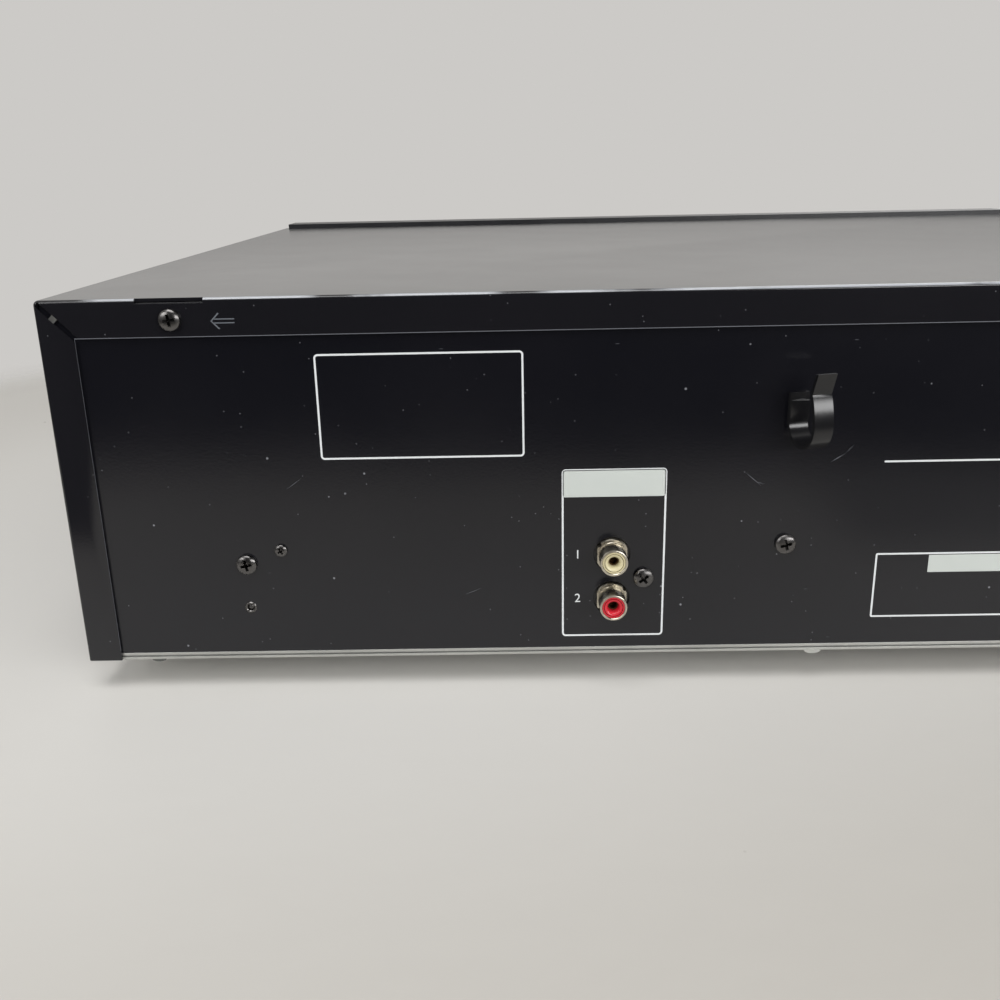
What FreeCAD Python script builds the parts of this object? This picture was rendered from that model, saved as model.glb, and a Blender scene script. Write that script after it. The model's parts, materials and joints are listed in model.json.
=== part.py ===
"""Five-disc carousel CD changer, full hi-fi width, as an assembly of separate pieces.

Frame: millimetres, +Z up, the front faces -Y, origin under the middle of the case on the plane of the feet.
Every size comes from the sheet called dims. A Size keeps its spreadsheet formula, so arithmetic on sizes
stays bound to the sheet wherever it is used.
"""
import FreeCAD, Part
import Sketcher
import math
import os

os.makedirs("parts", exist_ok=True)
doc = FreeCAD.newDocument("disc_changer")
sheet = doc.addObject("Spreadsheet::Sheet", "dims")

SIZES = {
    # case
    "case_height": 125,
    "foot_height": 10.5,
    "cover_wall": 1.0,
    "cover_bend": 1.5,
    "cover_clear": 0.5,
    "cover_lift": 0.2,
    "flange_top": 10.8,
    "flange_side": 10.5,
    "bend_round": 1.0,
    "mitre_gap": 1.2,
    "notch_width": 19.5,
    "notch_height": 1.4,
    "panel_wall": 1.0,
    "panel_return": 10,
    "hem_height": 2.3,
    "hem_groove": 0.5,
    "chassis_side": 40,
    "slot_length": 30,
    "slot_width": 3,
    "slot_pitch": 8,
    "slot_count": 8,
    "slot_reach": 95,
    # screws
    "screw_head": 6.2,
    "screw_head_height": 2.0,
    "screw_shank": 2.9,
    "screw_length": 6,
    "screw_clear": 0.3,
    "cover_screw_edge": 38.5,
    "cover_screw_drop": 6,
    "side_screw_y": 110,
    "side_screw_z": 62,
    "bracket_screw_edge": 51.4,
    "bracket_screw_z": 42.3,
    "jack_screw_x": 41.2,
    "jack_screw_z": 36.0,
    "sink_screw_x": -1.3,
    "sink_screw_z": 46.3,
    "rivet_edge": 62.2,
    "rivet_z": 46.6,
    "rivet_head": 3.8,
    "rivet_pin": 1.8,
    "adjust_edge": 51.2,
    "adjust_z": 27.9,
    "adjust_radius": 1.3,
    # feet
    "foot_radius": 15,
    "foot_taper": 2,
    "foot_edge": 50,
    "foot_front": 33.7,
    "foot_rear": 48.25,
    "pad_radius": 11,
    "pad_height": 1.5,
    # moulded front
    "fascia_depth": 24,
    "fascia_step": 2,
    "fascia_inset": 2.15,
    "fascia_bottom": 8,
    "fascia_wall": 3,
    "fascia_side": 2.5,
    "fascia_round": 4,
    "door_low": 63.5,
    "door_high": 104.5,
    "door_clear": 1.8,
    "door_gap": 0.5,
    "column_width": 35.85,
    "window_gap": 10,
    "window_low": 27,
    "window_high": 57,
    "window_thick": 1.2,
    "window_lip": 4,
    "tube_thick": 5,
    "keyboard_depth": 10,
    "keyboard_thick": 1.6,
    "keyboard_low": 14,
    "keyboard_high": 60,
    "keyboard_edge": 12.85,
    "boss_radius": 4,
    "boss_left": 28,
    "boss_right": 3,
    "boss_end": 30,
    # controls
    "button_proud": 1.5,
    "button_gap": 0.3,
    "button_flange": 1.0,
    "button_travel": 1.2,
    "button_stem": 1.5,
    "power_z": 46,
    "power_width": 16,
    "power_height": 9,
    "side_key_width": 20,
    "side_key_height": 8,
    "open_close_z": 92,
    "disc_skip_z": 76,
    "disc_key_edge": 60.85,
    "disc_key_pitch": 16,
    "disc_key_width": 12,
    "disc_key_height": 6,
    "disc_key_z": 51,
    "deck_key_z": 32,
    "deck_key_height": 12,
    "play_width": 26,
    "pause_width": 18,
    "deck_key_gap": 6,
    "dial_radius": 14,
    "dial_proud": 5.7,
    "dial_edge": 28.85,
    "dial_z": 38,
    "level_radius": 6.5,
    "level_edge": 52.85,
    "level_z": 26,
    "knob_shaft": 3,
    "knob_gap": 0.4,
    "left_column": 24.85,
    "phones_z": 26,
    "phones_bore": 3.2,
    "phones_wall": 1.8,
    "phones_body": 2.2,
    "phones_rim": 1.2,
    "phones_rim_height": 0.8,
    "phones_length": 25,
    "knob_wall": 1.5,
    "knob_bevel": 1.0,
    "key_round": 0.6,
    # rear sockets and cord fittings
    "jack_x": 50.8,
    "jack_high": 43.6,
    "jack_pitch": 14.4,
    "jack_reach": 7.8,
    "jack_radius": 4.15,
    "jack_ring": 5.2,
    "jack_ring_height": 1.2,
    "jack_bore": 1.6,
    "jack_wall": 0.7,
    "jack_depth": 12,
    "jack_hole": 7.2,
    "jack_ear": 7.2,
    "jack_ear_thick": 2,
    "jack_insert_set": 0.3,
    "gland_edge": 33.5,
    "gland_z": 46,
    "gland_body": 6,
    "gland_flange": 8,
    "gland_bore": 3.6,
    "gland_rim": 2,
    "gland_reach": 4,
    "clip_x": 1.0,
    "clip_z": 88,
    "clip_turn": 17,
    "clip_width": 6,
    "clip_loop": 5.8,
    "clip_band": 1.2,
    "clip_wall": 8,
    "clip_throat": 9.5,
    "clip_lean": 2.1,
    "clip_lip": 6,
    "clip_stud": 2.4,
    # drawer
    "drawer_travel": 225,
    "well_rim": 7.2,
    "well_end": 7.35,
    "tray_room": 11.25,
    "tray_low": 76,
    "tray_floor": 2.5,
    "tray_wall": 2.5,
    "tray_rim": 88,
    "slide_gap": 0.3,
    "slot_half": 24,
    "slot_start": 17,
    # carousel
    "pocket_rim": 2.3,
    "carousel_gap": 2.0,
    "carousel_low": 82.3,
    "carousel_high": 90.5,
    "pocket_ring": 105,
    "pocket_radius": 60.7,
    "pocket_floor": 86,
    "small_pocket_radius": 40.6,
    "small_pocket_floor": 85,
    "opening_half": 21,
    "keyhole_reach": 72,
    "notch_radius": 12,
    "keyhole_end": 48.7,
    "rib_inset": 19,
    "tray_side": 3.5,
    "post_radius": 10,
    "fit": 0.05,
    "cap_radius": 13,
    "cap_height": 2.2,
    # gears
    "drive_module": 1.5,
    "pinion_teeth": 12,
    "hub_teeth": 40,
    "gear_play": 0.25,
    "hub_gear_low": 79.2,
    "rack_low": 70,
    "rack_inset": 25.2,
    "rack_setback": 10,
    "rack_spare": 32,
    "rack_bar": 5,
    "pulley_radius": 20,
    "pulley_low": 63.2,
    "pulley_height": 5.2,
    "motor_pulley_radius": 4,
    "belt_section": 1.2,
    "belt_gap": 0.3,
    "loader_setback": 15,
    "motor_offset": 55,
    "motor_radius": 12,
    "motor_length": 25,
    "motor_shaft": 1.0,
    "table_motor_height": 11,
    "loader_post": 2.0,
    "loader_hub": 6.3,
    "cap_shank": 3.0,
    # deck that carries the drawer and the player
    "deck_low": 60,
    "deck_thick": 2.5,
    "deck_clear": 3.8,
    "deck_setback": 34.7,
    "deck_beyond": 2,
    "deck_wall": 3,
    "deck_wall_top": 100,
    "rail_height": 2.7,
    "rail_reach": 4,
    "hook_reach": 3,
    "hook_length": 20,
    "hook_end": 6,
    "leg_radius": 4,
    "leg_inset": 9,
    "leg_end": 10,
    "bearing_lug": 5,
    "shaft_hole": 3,
    "channel_side": 24,
    "guide_half": 46,
    "guide_height": 4,
    # player
    "pivot_reach": 107,
    "pivot_height": 69,
    "pivot_radius": 2.5,
    "lift_drop": 14,
    "player_half": 50,
    "player_beyond": 39,
    "player_low": 2,
    "player_thick": 2.5,
    "player_clear": 7,
    "player_back": 6,
    "plate_opening": 2,
    "lift_pin_reach": 10,
    "pin_clear": 2,
    "slider_room": 5,
    "hub_hole": 6.5,
    "window_in": 22,
    "window_out": 5,
    "window_near": 12,
    "window_far": 6,
    "pin_root": 2,
    "sled_tail": 26,
    "sled_nose": 5,
    "tower_half": 8,
    "tower_back": 6,
    "sled_rack_tail": 4,
    "sled_rack_lead": 8.5,
    "sled_rack_root": 1,
    "rod_length": 81.5,
    "rod_gap": 11.5,
    "rod_block": 4.5,
    "rod_drop": 1.5,
    "rod_wall": 1.5,
    "block_drop": 4,
    "sled_gear_back": 28.5,
    "sled_motor_radius": 9,
    "sled_motor_drop": 5.5,
    "sled_motor_height": 9.5,
    "sled_plate_thick": 1.5,
    "sled_plate_half": 5,
    "sled_plate_end": 14,
    "sled_screw_reach": 11.5,
    "sled_screw_radius": 1.3,
    "sled_post": 1.2,
    "sled_post_proud": 1,
    "shaft_set": 2,
    "hub_gap": 0.4,
    "motor_boss": 5,
    "table_hub": 6,
    "table_waist": 5,
    "waist_drop": 6,
    "table_rim": 2.2,
    "cone_edge": 0.3,
    "cone_step": 0.9,
    "lens_bevel": 0.8,
    "disc_plane": 92.6,
    "turntable_radius": 14.5,
    "cone_radius": 7.3,
    "cone_height": 2.2,
    "spindle_motor_radius": 11,
    "spindle_motor_height": 10,
    "lens_start": 23,
    "lens_travel": 35,
    "sled_half": 15,
    "sled_low": -5,
    "sled_high": 9.5,
    "tower_high": 20.5,
    "lens_radius": 3.5,
    "lens_height": 1.3,
    "rod_radius": 1.5,
    "rod_x": 11,
    "sled_module": 1,
    "sled_gear_teeth": 16,
    "sled_rack_x": 18,
    "sled_rack_low": -3.5,
    "sled_rack_high": -0.5,
    "lift_pin": 2.4,
    "lift_slot_gap": 0.5,
    "lift_slide": 30,
    "slider_thick": 1.5,
    "slider_low": 44,
    "slider_high": 75,
    "slider_left": 78,
    "slider_right": 48,
    "slider_foot": 6,
    "slider_margin": 8,
    "slider_shoulder": 12,
    "slider_edge": 14,
    "slider_corner": 4,
    # clamp
    "bridge_thick": 1.2,
    "bridge_half": 22,
    "bridge_lip": 4,
    "puck_flange": 18,
    "puck_radius": 13,
    "puck_gap": 1.0,
    "puck_low": 94,
    "puck_flange_height": 2,
    "puck_socket": 8.3,
    "puck_socket_depth": 2.5,
    "puck_bevel": 2,
    # electrics
    "board_gap": 6.5,
    "board_thick": 1.6,
    "board_half": 130,
    "board_depth": 156.75,
    "board_post_inset": 10,
    "chip_height": 3,
    "sink_left": -25,
    "sink_right": 12,
    "sink_height": 40,
    "sink_depth": 16,
    "sink_plate": 2,
    "sink_fin": 1,
    "sink_fins": 5,
    "transformer_edge": 48.5,
    "transformer_end": 47.25,
    "core_width": 50,
    "core_height": 42,
    "core_depth": 25,
    "core_leg": 8,
    "coil_gap": 0.4,
    "coil_overhang": 7,
}

# loose parts on the main board, from its front edge's middle
CANS = {
    "can_1": (-100, 40, 9, 24),
    "can_2": (-75, 40, 9, 24),
    "can_3": (-100, 70, 6, 14),
    "can_4": (85, 40, 5, 11),
    "can_5": (100, 55, 5, 11),
    "can_6": (70, 110, 4, 9),
}
CHIPS = {
    "chip_1": (-60, 100, 26, 18),
    "chip_2": (90, 90, 20, 14),
    "chip_3": (20, 20, 30, 12),
    "chip_4": (110, 125, 12, 20),
}
for table, keys in ((CANS, ("x", "y", "radius", "height")), (CHIPS, ("x", "y", "width", "depth"))):
    for name, values in table.items():
        SIZES.update({f"{name}_{key}": value for key, value in zip(keys, values)})

for row, (name, value) in enumerate(SIZES.items(), start=1):
    sheet.set(f"A{row}", name)
    sheet.set(f"B{row}", str(value))
    sheet.setAlias(f"B{row}", name)
doc.recompute()


class Size:
    """A formula on the sheet's cells; adding or scaling sizes gives another formula."""

    def __init__(self, text):
        self.text = text

    def __str__(self):
        return self.text

    def __add__(self, other):
        return Size(f"({self} + {other})")

    def __radd__(self, other):
        return Size(f"({other} + {self})")

    def __sub__(self, other):
        return Size(f"({self} - {other})")

    def __rsub__(self, other):
        return Size(f"({other} - {self})")

    def __mul__(self, other):
        return Size(f"({self} * {other})")

    __rmul__ = __mul__

    def __truediv__(self, other):
        return Size(f"({self} / {other})")

    def __neg__(self):
        return Size(f"(-1 * {self})")


class Sheet:
    """Gives each named cell as a Size: d.case_height is the cell called case_height."""

    def __getattr__(self, name):
        if name not in SIZES:
            raise AttributeError(name)
        return Size(f"dims.{name}")


d = Sheet()


def mm(value):
    """The value of a Size or of a plain number, as a float."""
    if not isinstance(value, Size):
        return float(value)
    result = sheet.evalExpression(value.text)
    return float(getattr(result, "Value", result))


def func(name, value):
    """A function of the sheet's own language, such as cos, applied to a Size."""
    return Size(f"{name}({value})")


# ---------------------------------------------------------------- outlines, all bound to the sheet

def fix_point(sketch, geometry, end, x, y):
    """Holds one end of a line, or a circle's centre, at x, y from the sketch's origin."""
    for kind, value in (("DistanceX", x), ("DistanceY", y)):
        index = sketch.addConstraint(Sketcher.Constraint(kind, -1, 1, geometry, end, mm(value)))
        sketch.setExpression(f"Constraints[{index}]", str(value))


def fix_radius(sketch, geometry, radius):
    index = sketch.addConstraint(Sketcher.Constraint("Radius", geometry, mm(radius)))
    sketch.setExpression(f"Constraints[{index}]", str(radius))


def arc_between(start, end, radius, left):
    """The short arc from start to end that bulges left or right of the way, and whether it runs forward.

    A sketch keeps its arcs anticlockwise, so one that bulges to the left is stored from its end to its start.
    """
    middle = (start + end) * 0.5
    along = (end - start).normalize()
    across = FreeCAD.Vector(-along.y, along.x, 0) * (-1 if left else 1)
    half = start.distanceToPoint(end) / 2
    centre = middle + across * math.sqrt(max(radius ** 2 - half ** 2, 0))
    first, last = (end, start) if left else (start, end)
    angles = [math.atan2(point.y - centre.y, point.x - centre.x) for point in (first, last)]
    if angles[1] < angles[0]:
        angles[1] += 2 * math.pi
    return Part.ArcOfCircle(Part.Circle(centre, FreeCAD.Vector(0, 0, 1), radius), *angles), not left


def path(*corners):
    """A closed outline. A corner (x, y) ends a straight side; (x, y, radius, left) ends an arc."""
    def draw(sketch):
        first = sketch.GeometryCount
        points = [FreeCAD.Vector(mm(c[0]), mm(c[1]), 0) for c in corners]
        count = len(corners)
        ends = []
        for i in range(count):
            start, end, corner = points[i], points[(i + 1) % count], corners[(i + 1) % count]
            if len(corner) == 2:
                sketch.addGeometry(Part.LineSegment(start, end), False)
                ends.append((1, 2))
                continue
            arc, forward = arc_between(start, end, mm(corner[2]), corner[3])
            sketch.addGeometry(arc, False)
            ends.append((1, 2) if forward else (2, 1))
        for i in range(count):
            after = (i + 1) % count
            joint = Sketcher.Constraint("Coincident", first + i, ends[i][1], first + after, ends[after][0])
            sketch.addConstraint(joint)
        for i in range(count):
            fix_point(sketch, first + i, ends[i][0], corners[i][0], corners[i][1])
            if len(corners[(i + 1) % count]) > 2:
                fix_radius(sketch, first + i, corners[(i + 1) % count][2])
    return draw


def rect(x0, x1, y0, y1):
    return path((x0, y0), (x1, y0), (x1, y1), (x0, y1))


def circle(x, y, radius):
    def draw(sketch):
        middle = FreeCAD.Vector(mm(x), mm(y), 0)
        index = sketch.addGeometry(Part.Circle(middle, FreeCAD.Vector(0, 0, 1), mm(radius)), False)
        fix_point(sketch, index, 3, x, y)
        fix_radius(sketch, index, radius)
    return draw


def both_sides(outline, x0, x1, *rest):
    """The same outline at x and mirrored at -x."""
    return [outline(x0, x1, *rest), outline(-x1, -x0, *rest)]


class Piece:
    """One PartDesign body. Levels, starts and ends are places along the sketch plane's axis."""

    AXES = {"XY": 1, "XZ": -1, "YZ": 1}

    def __init__(self, label):
        self.body = doc.addObject("PartDesign::Body", label)
        self.body.Label = label

    def sketch(self, plane, level, outlines):
        made = self.body.newObject("Sketcher::SketchObject", "outline")
        role = f"{plane}_Plane"
        origin_plane = [item for item in self.body.Origin.OriginFeatures if item.Role == role][0]
        made.AttachmentSupport = [(origin_plane, "")]
        made.MapMode = "FlatFace"
        made.setExpression("AttachmentOffset.Base.z", f"{self.AXES[plane]} * ({level})")
        for outline in outlines:
            outline(made)
        return made

    def feature(self, kind, plane, start, end, outlines):
        made = self.body.newObject(kind, kind.split("::")[1].lower())
        made.Profile = self.sketch(plane, start, outlines)
        made.setExpression("Length", f"({end}) - ({start})")
        return made

    def pad(self, plane, start, end, *outlines):
        made = self.feature("PartDesign::Pad", plane, start, end, outlines)
        made.Reversed = plane == "XZ"
        self.body.Tip = made
        return made

    def cut(self, plane, start, end, *outlines):
        """A pocket; it must take material away."""
        doc.recompute()
        before = self.body.Shape.Volume
        made = self.feature("PartDesign::Pocket", plane, start, end, outlines)
        made.Reversed = plane != "XZ"
        self.body.Tip = made
        doc.recompute()
        if not made.Shape.Volume < before:
            raise ValueError(f"{self.body.Label}: a pocket cut nothing")
        return made

    def turn(self, *outlines):
        """A revolved solid about the body's own Z axis; the outline's x is the radius."""
        made = self.body.newObject("PartDesign::Revolution", "revolution")
        made.Profile = self.sketch("XZ", 0, outlines)
        made.ReferenceAxis = (made.Profile[0], ["V_Axis"])
        made.Angle = 360
        self.body.Tip = made
        return made

    def repeat_round(self, features, count):
        doc.recompute()
        pattern = self.body.newObject("PartDesign::PolarPattern", "around")
        pattern.Originals = features
        axis = [item for item in self.body.Origin.OriginFeatures if item.Role == "Z_Axis"][0]
        pattern.Axis = (axis, [""])
        pattern.Angle = 360
        pattern.setExpression("Occurrences", str(count))
        self.body.Tip = pattern
        doc.recompute()
        return pattern

    def repeat_along(self, features, role, length, count):
        doc.recompute()
        pattern = self.body.newObject("PartDesign::LinearPattern", "along")
        pattern.Originals = features
        axis = [item for item in self.body.Origin.OriginFeatures if item.Role == role][0]
        pattern.Direction = (axis, [""])
        pattern.setExpression("Length", str(length))
        pattern.setExpression("Occurrences", str(count))
        self.body.Tip = pattern
        doc.recompute()
        return pattern

    def soften(self, radius, chosen, kind="PartDesign::Fillet"):
        """Rounds, or with a chamfer bevels, each edge whose middle passes the test."""
        doc.recompute()
        base = self.body.Tip
        names = []
        for index, edge in enumerate(base.Shape.Edges, start=1):
            middle = edge.valueAt((edge.FirstParameter + edge.LastParameter) / 2)
            if chosen(middle, edge):
                names.append(f"Edge{index}")
        if not names:
            raise ValueError(f"{self.body.Label}: no edge to soften")
        made = self.body.newObject(kind, "softened")
        made.Base = (base, names)
        made.setExpression("Radius" if kind.endswith("Fillet") else "Size", str(radius))
        self.body.Tip = made
        doc.recompute()
        return made

    def place(self, x=0, y=0, z=0):
        for letter, value in zip("xyz", (x, y, z)):
            self.body.setExpression(f"Placement.Base.{letter}", str(value))
        return self

    def face_way(self, way):
        """Turns the body's own +Z to -Y for the front, +Y for the rear, or +X or -X for the sides."""
        about_x, about_y = FreeCAD.Vector(1, 0, 0), FreeCAD.Vector(0, 1, 0)
        ways = {"-Y": (about_x, 90), "+Y": (about_x, -90), "+X": (about_y, 90), "-X": (about_y, -90)}
        axis, angle = ways[way]
        spot = self.body.Placement.Base
        self.body.Placement = FreeCAD.Placement(spot, FreeCAD.Rotation(axis, angle))
        return self


def group(label, pieces):
    """Separate solids that share one node."""
    made = doc.addObject("Part::Compound", label)
    made.Label = label
    made.Links = [piece.body for piece in pieces]
    return made


NODES = {}


def node(label, item):
    NODES[label] = item.body if isinstance(item, Piece) else item


# ---------------------------------------------------------------- main planes of the case

carousel_radius = d.pocket_ring + d.pocket_radius + d.pocket_rim
drawer_half = carousel_radius + d.well_rim
door_half = drawer_half + d.door_clear
fascia_half = door_half + d.column_width
side = fascia_half + d.fascia_inset
tray_length = 2 * (carousel_radius + d.well_end)
clip_belly = d.clip_loop * 2 + d.clip_band * 2
clip_skew = d.clip_width * func("sin", d.clip_turn)
clip_reach = clip_skew + clip_belly * func("cos", d.clip_turn)
case_depth = d.dial_proud + d.fascia_wall + tray_length + d.tray_room + d.panel_wall + clip_reach
panel_out = case_depth / 2 - clip_reach
rear = panel_out + d.cover_wall
panel_in = panel_out - d.panel_wall
face = d.dial_proud - case_depth / 2
cover_front = face + d.fascia_depth
cover_top = d.case_height - d.fascia_step
cover_low = d.foot_height + d.cover_lift
cover_in = side - d.cover_wall
floor_low = d.foot_height
floor_top = floor_low + d.panel_wall
shell_half = cover_in - d.cover_clear
panel_top = cover_top - d.cover_wall - d.cover_clear / 2
board_low = floor_top + d.board_gap
board_top = board_low + d.board_thick
screw_hole = d.screw_shank / 2 + d.screw_clear
cover_screw_x = side - d.cover_screw_edge
cover_screw_z = cover_top - d.cover_screw_drop
fascia_back = face + d.fascia_wall
tray_rear = fascia_back + tray_length
bracket_screw = (shell_half - d.bracket_screw_edge, d.bracket_screw_z)
jack_screw = (d.jack_screw_x, d.jack_screw_z)
sink_screw = (d.sink_screw_x, d.sink_screw_z)
rivet_spot = (shell_half - d.rivet_edge, d.rivet_z)
adjust_spot = (shell_half - d.adjust_edge, d.adjust_z)
foot_x = side - d.foot_edge
foot_spots = (cover_front + d.foot_front, panel_out - d.foot_rear)
transformer_x = d.transformer_edge - shell_half
transformer_y = panel_in - d.transformer_end
board_rear = panel_in - d.cover_clear
board_front = board_rear - d.board_depth
board_post_x = d.board_half - d.board_post_inset
board_posts = (board_front + d.board_post_inset, board_rear - d.board_post_inset)

# ---------------------------------------------------------------- case


def screw_holes(*spots):
    return [circle(across, up, screw_hole) for across, up in spots]


def make_cover():
    """Folded steel sheet: top, two sides and mitred rear flanges, with a notch over each rear screw."""
    cover = Piece("top_cover")
    bend, wall = d.cover_bend, d.cover_wall
    inner_bend = bend - wall
    high = cover_top
    cover.pad("XZ", cover_front, rear, path(
        (-side, cover_low), (-side, high - bend), (-(side - bend), high, bend, True),
        (side - bend, high), (side, high - bend, bend, True), (side, cover_low),
        (cover_in, cover_low), (cover_in, high - bend),
        (cover_in - inner_bend, high - wall, inner_bend, False),
        (-(cover_in - inner_bend), high - wall), (-cover_in, high - bend, inner_bend, False),
        (-cover_in, cover_low)))
    inner_x, inner_z = side - d.flange_side, high - d.flange_top
    cover.pad("XZ", rear - wall, rear, path(
        (-side, cover_low), (-side, high - bend), (-(side - bend), high, bend, True),
        (side - bend, high), (side, high - bend, bend, True), (side, cover_low),
        (inner_x, cover_low), (inner_x, inner_z), (-inner_x, inner_z), (-inner_x, cover_low)))
    back, wide, top = mm(rear), mm(inner_x), mm(inner_z)
    cover.soften(d.bend_round, lambda p, e: abs(p.y - back) < 0.01 and (abs(p.x) > wide + 1 or p.z > top + 1)
                 and p.z > mm(cover_low) + 1)
    gap = d.mitre_gap / 2
    start_x, start_z = inner_x - wall, inner_z - wall
    tip_x, tip_z = side - wall, high - wall
    mitre = path((start_x - gap, start_z + gap), (start_x + gap, start_z - gap),
                 (tip_x + gap, tip_z - gap), (tip_x - gap, tip_z + gap))
    mirrored = path((gap - start_x, start_z + gap), (-start_x - gap, start_z - gap),
                    (-tip_x - gap, tip_z - gap), (gap - tip_x, tip_z + gap))
    cover.cut("XZ", rear - wall, rear, mitre, mirrored)
    notch_in = cover_screw_x - d.notch_width / 2
    cover.cut("XZ", rear - wall, rear,
              *both_sides(rect, notch_in, notch_in + d.notch_width, high - d.notch_height, high))
    cover.cut("XZ", rear - wall, rear,
              *screw_holes((cover_screw_x, cover_screw_z), (-cover_screw_x, cover_screw_z)))
    for left, right in ((-side, -cover_in), (cover_in, side)):
        cover.cut("YZ", left, right,
                  *screw_holes((d.side_screw_y, d.side_screw_z), (-d.side_screw_y, d.side_screw_z)))
    node("top_cover", cover)


def make_rear_panel():
    """Black sheet with forward-turned top and side returns."""
    panel = Piece("rear_panel")
    low = floor_low + d.hem_height
    panel.pad("XZ", panel_in, panel_out, rect(-shell_half, shell_half, low, panel_top))
    back = panel_in - d.panel_return
    panel.pad("XY", panel_top - d.panel_wall, panel_top, rect(-shell_half, shell_half, back, panel_in))
    side_low = floor_low + d.chassis_side + d.cover_clear
    panel.pad("XY", side_low, panel_top - d.panel_wall,
              *both_sides(rect, shell_half - d.panel_wall, shell_half, back, panel_in))
    holes = screw_holes(bracket_screw, jack_screw, sink_screw)
    holes += screw_holes((cover_screw_x, cover_screw_z), (-cover_screw_x, cover_screw_z))
    holes += [circle(d.jack_x, z, d.jack_ring + d.screw_clear) for z in (d.jack_high, jack_low)]
    holes.append(circle(gland_x, d.gland_z, d.gland_body + d.fit))
    holes.append(circle(*rivet_spot, d.rivet_pin / 2 + d.fit))
    holes.append(circle(*adjust_spot, d.adjust_radius))
    holes.append(circle(clip_stud_x, d.clip_z, d.clip_stud + d.fit))
    panel.cut("XZ", panel_in, panel_out, *holes)
    node("rear_panel", panel)


def make_bottom_chassis():
    """Bare steel pan: floor with vent slots, folded sides and front, and a rolled hem along the rear."""
    pan = Piece("bottom_chassis")
    wall = d.panel_wall
    front = cover_front + wall
    pan.pad("XY", floor_low, floor_top, rect(-shell_half, shell_half, front, panel_out))
    high = floor_low + d.chassis_side
    pan.pad("XY", floor_top, high,
            *both_sides(rect, shell_half - wall, shell_half, front, panel_in - d.cover_clear))
    pan.pad("XY", floor_top, high, rect(wall - shell_half, shell_half - wall, front, front + wall))
    pan.pad("XY", floor_top, floor_low + d.hem_height, rect(-shell_half, shell_half, panel_in, panel_out))
    middle = floor_low + d.hem_height / 2
    pan.cut("XZ", panel_out - d.hem_groove, panel_out,
            rect(-shell_half, shell_half, middle - d.hem_groove / 2, middle + d.hem_groove / 2))
    posts = [circle(x, y, d.leg_radius) for x in (-board_post_x, board_post_x) for y in board_posts]
    pan.pad("XY", floor_top, board_low, *posts)
    slot_x, slot_y = transformer_x - d.slot_length / 2, transformer_y - d.slot_reach
    first = pan.cut("XY", floor_low, floor_top,
                    rect(slot_x, slot_x + d.slot_length, slot_y, slot_y + d.slot_width))
    pan.repeat_along([first], "Y_Axis", d.slot_pitch * (d.slot_count - 1), d.slot_count)
    node("bottom_chassis", pan)


def make_feet():
    """Four moulded feet, each with a soft ring pad under it."""
    spots = [(x, y) for x in (-foot_x, foot_x) for y in foot_spots]
    shapes, pads = [], []
    for x, y in spots:
        foot = Piece("foot")
        top = d.foot_height
        foot.turn(path((0, d.pad_height), (d.foot_radius - d.foot_taper, d.pad_height), (d.foot_radius, top),
                       (0, top)))
        shapes.append(foot.place(x, y))
        pad = Piece("foot_pad")
        pad.turn(path((d.pad_radius / 2, 0), (d.pad_radius, 0), (d.pad_radius, d.pad_height),
                      (d.pad_radius / 2, d.pad_height)))
        pads.append(pad.place(x, y))
    node("feet", group("feet", shapes))
    node("foot_pads", group("foot_pads", pads))


HEAD_EDGE = 0.45
HEAD_FLAT = 0.55
HEAD_ROUND = 1.1


def fixing(label, head, height, shank, length, spot, way):
    """Pan head on a shank; the head's seat is at the spot and the head points the given way."""
    made = Piece(label)
    made.turn(path((0, -length), (shank, -length), (shank, 0), (head, 0), (head, height * HEAD_EDGE),
                   (head * HEAD_FLAT, height, head * HEAD_ROUND, False), (0, height)))
    return made.place(*spot).face_way(way)


def screw(x, y, z, way):
    return fixing("screw", d.screw_head / 2, d.screw_head_height, d.screw_shank / 2, d.screw_length,
                  (x, y, z), way)


def make_screws():
    case = [screw(x, rear, cover_screw_z, "+Y") for x in (-cover_screw_x, cover_screw_x)]
    case += [screw(side, y, d.side_screw_z, "+X") for y in (-d.side_screw_y, d.side_screw_y)]
    case += [screw(-side, y, d.side_screw_z, "-X") for y in (-d.side_screw_y, d.side_screw_y)]
    node("case_screws", group("case_screws", case))
    fixings = [screw(x, panel_out, z, "+Y") for x, z in (bracket_screw, jack_screw, sink_screw)]
    head = d.rivet_head / 2
    fixings.append(fixing("rivet", head, head * HEAD_FLAT, d.rivet_pin / 2, d.screw_length / 2,
                          (rivet_spot[0], panel_out, rivet_spot[1]), "+Y"))
    node("rear_screws", group("rear_screws", fixings))


# ---------------------------------------------------------------- rear sockets and cord fittings

gland_x = d.gland_edge - shell_half
clip_stud_x = d.clip_x - d.clip_width / 2
jack_low = d.jack_high - d.jack_pitch


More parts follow.
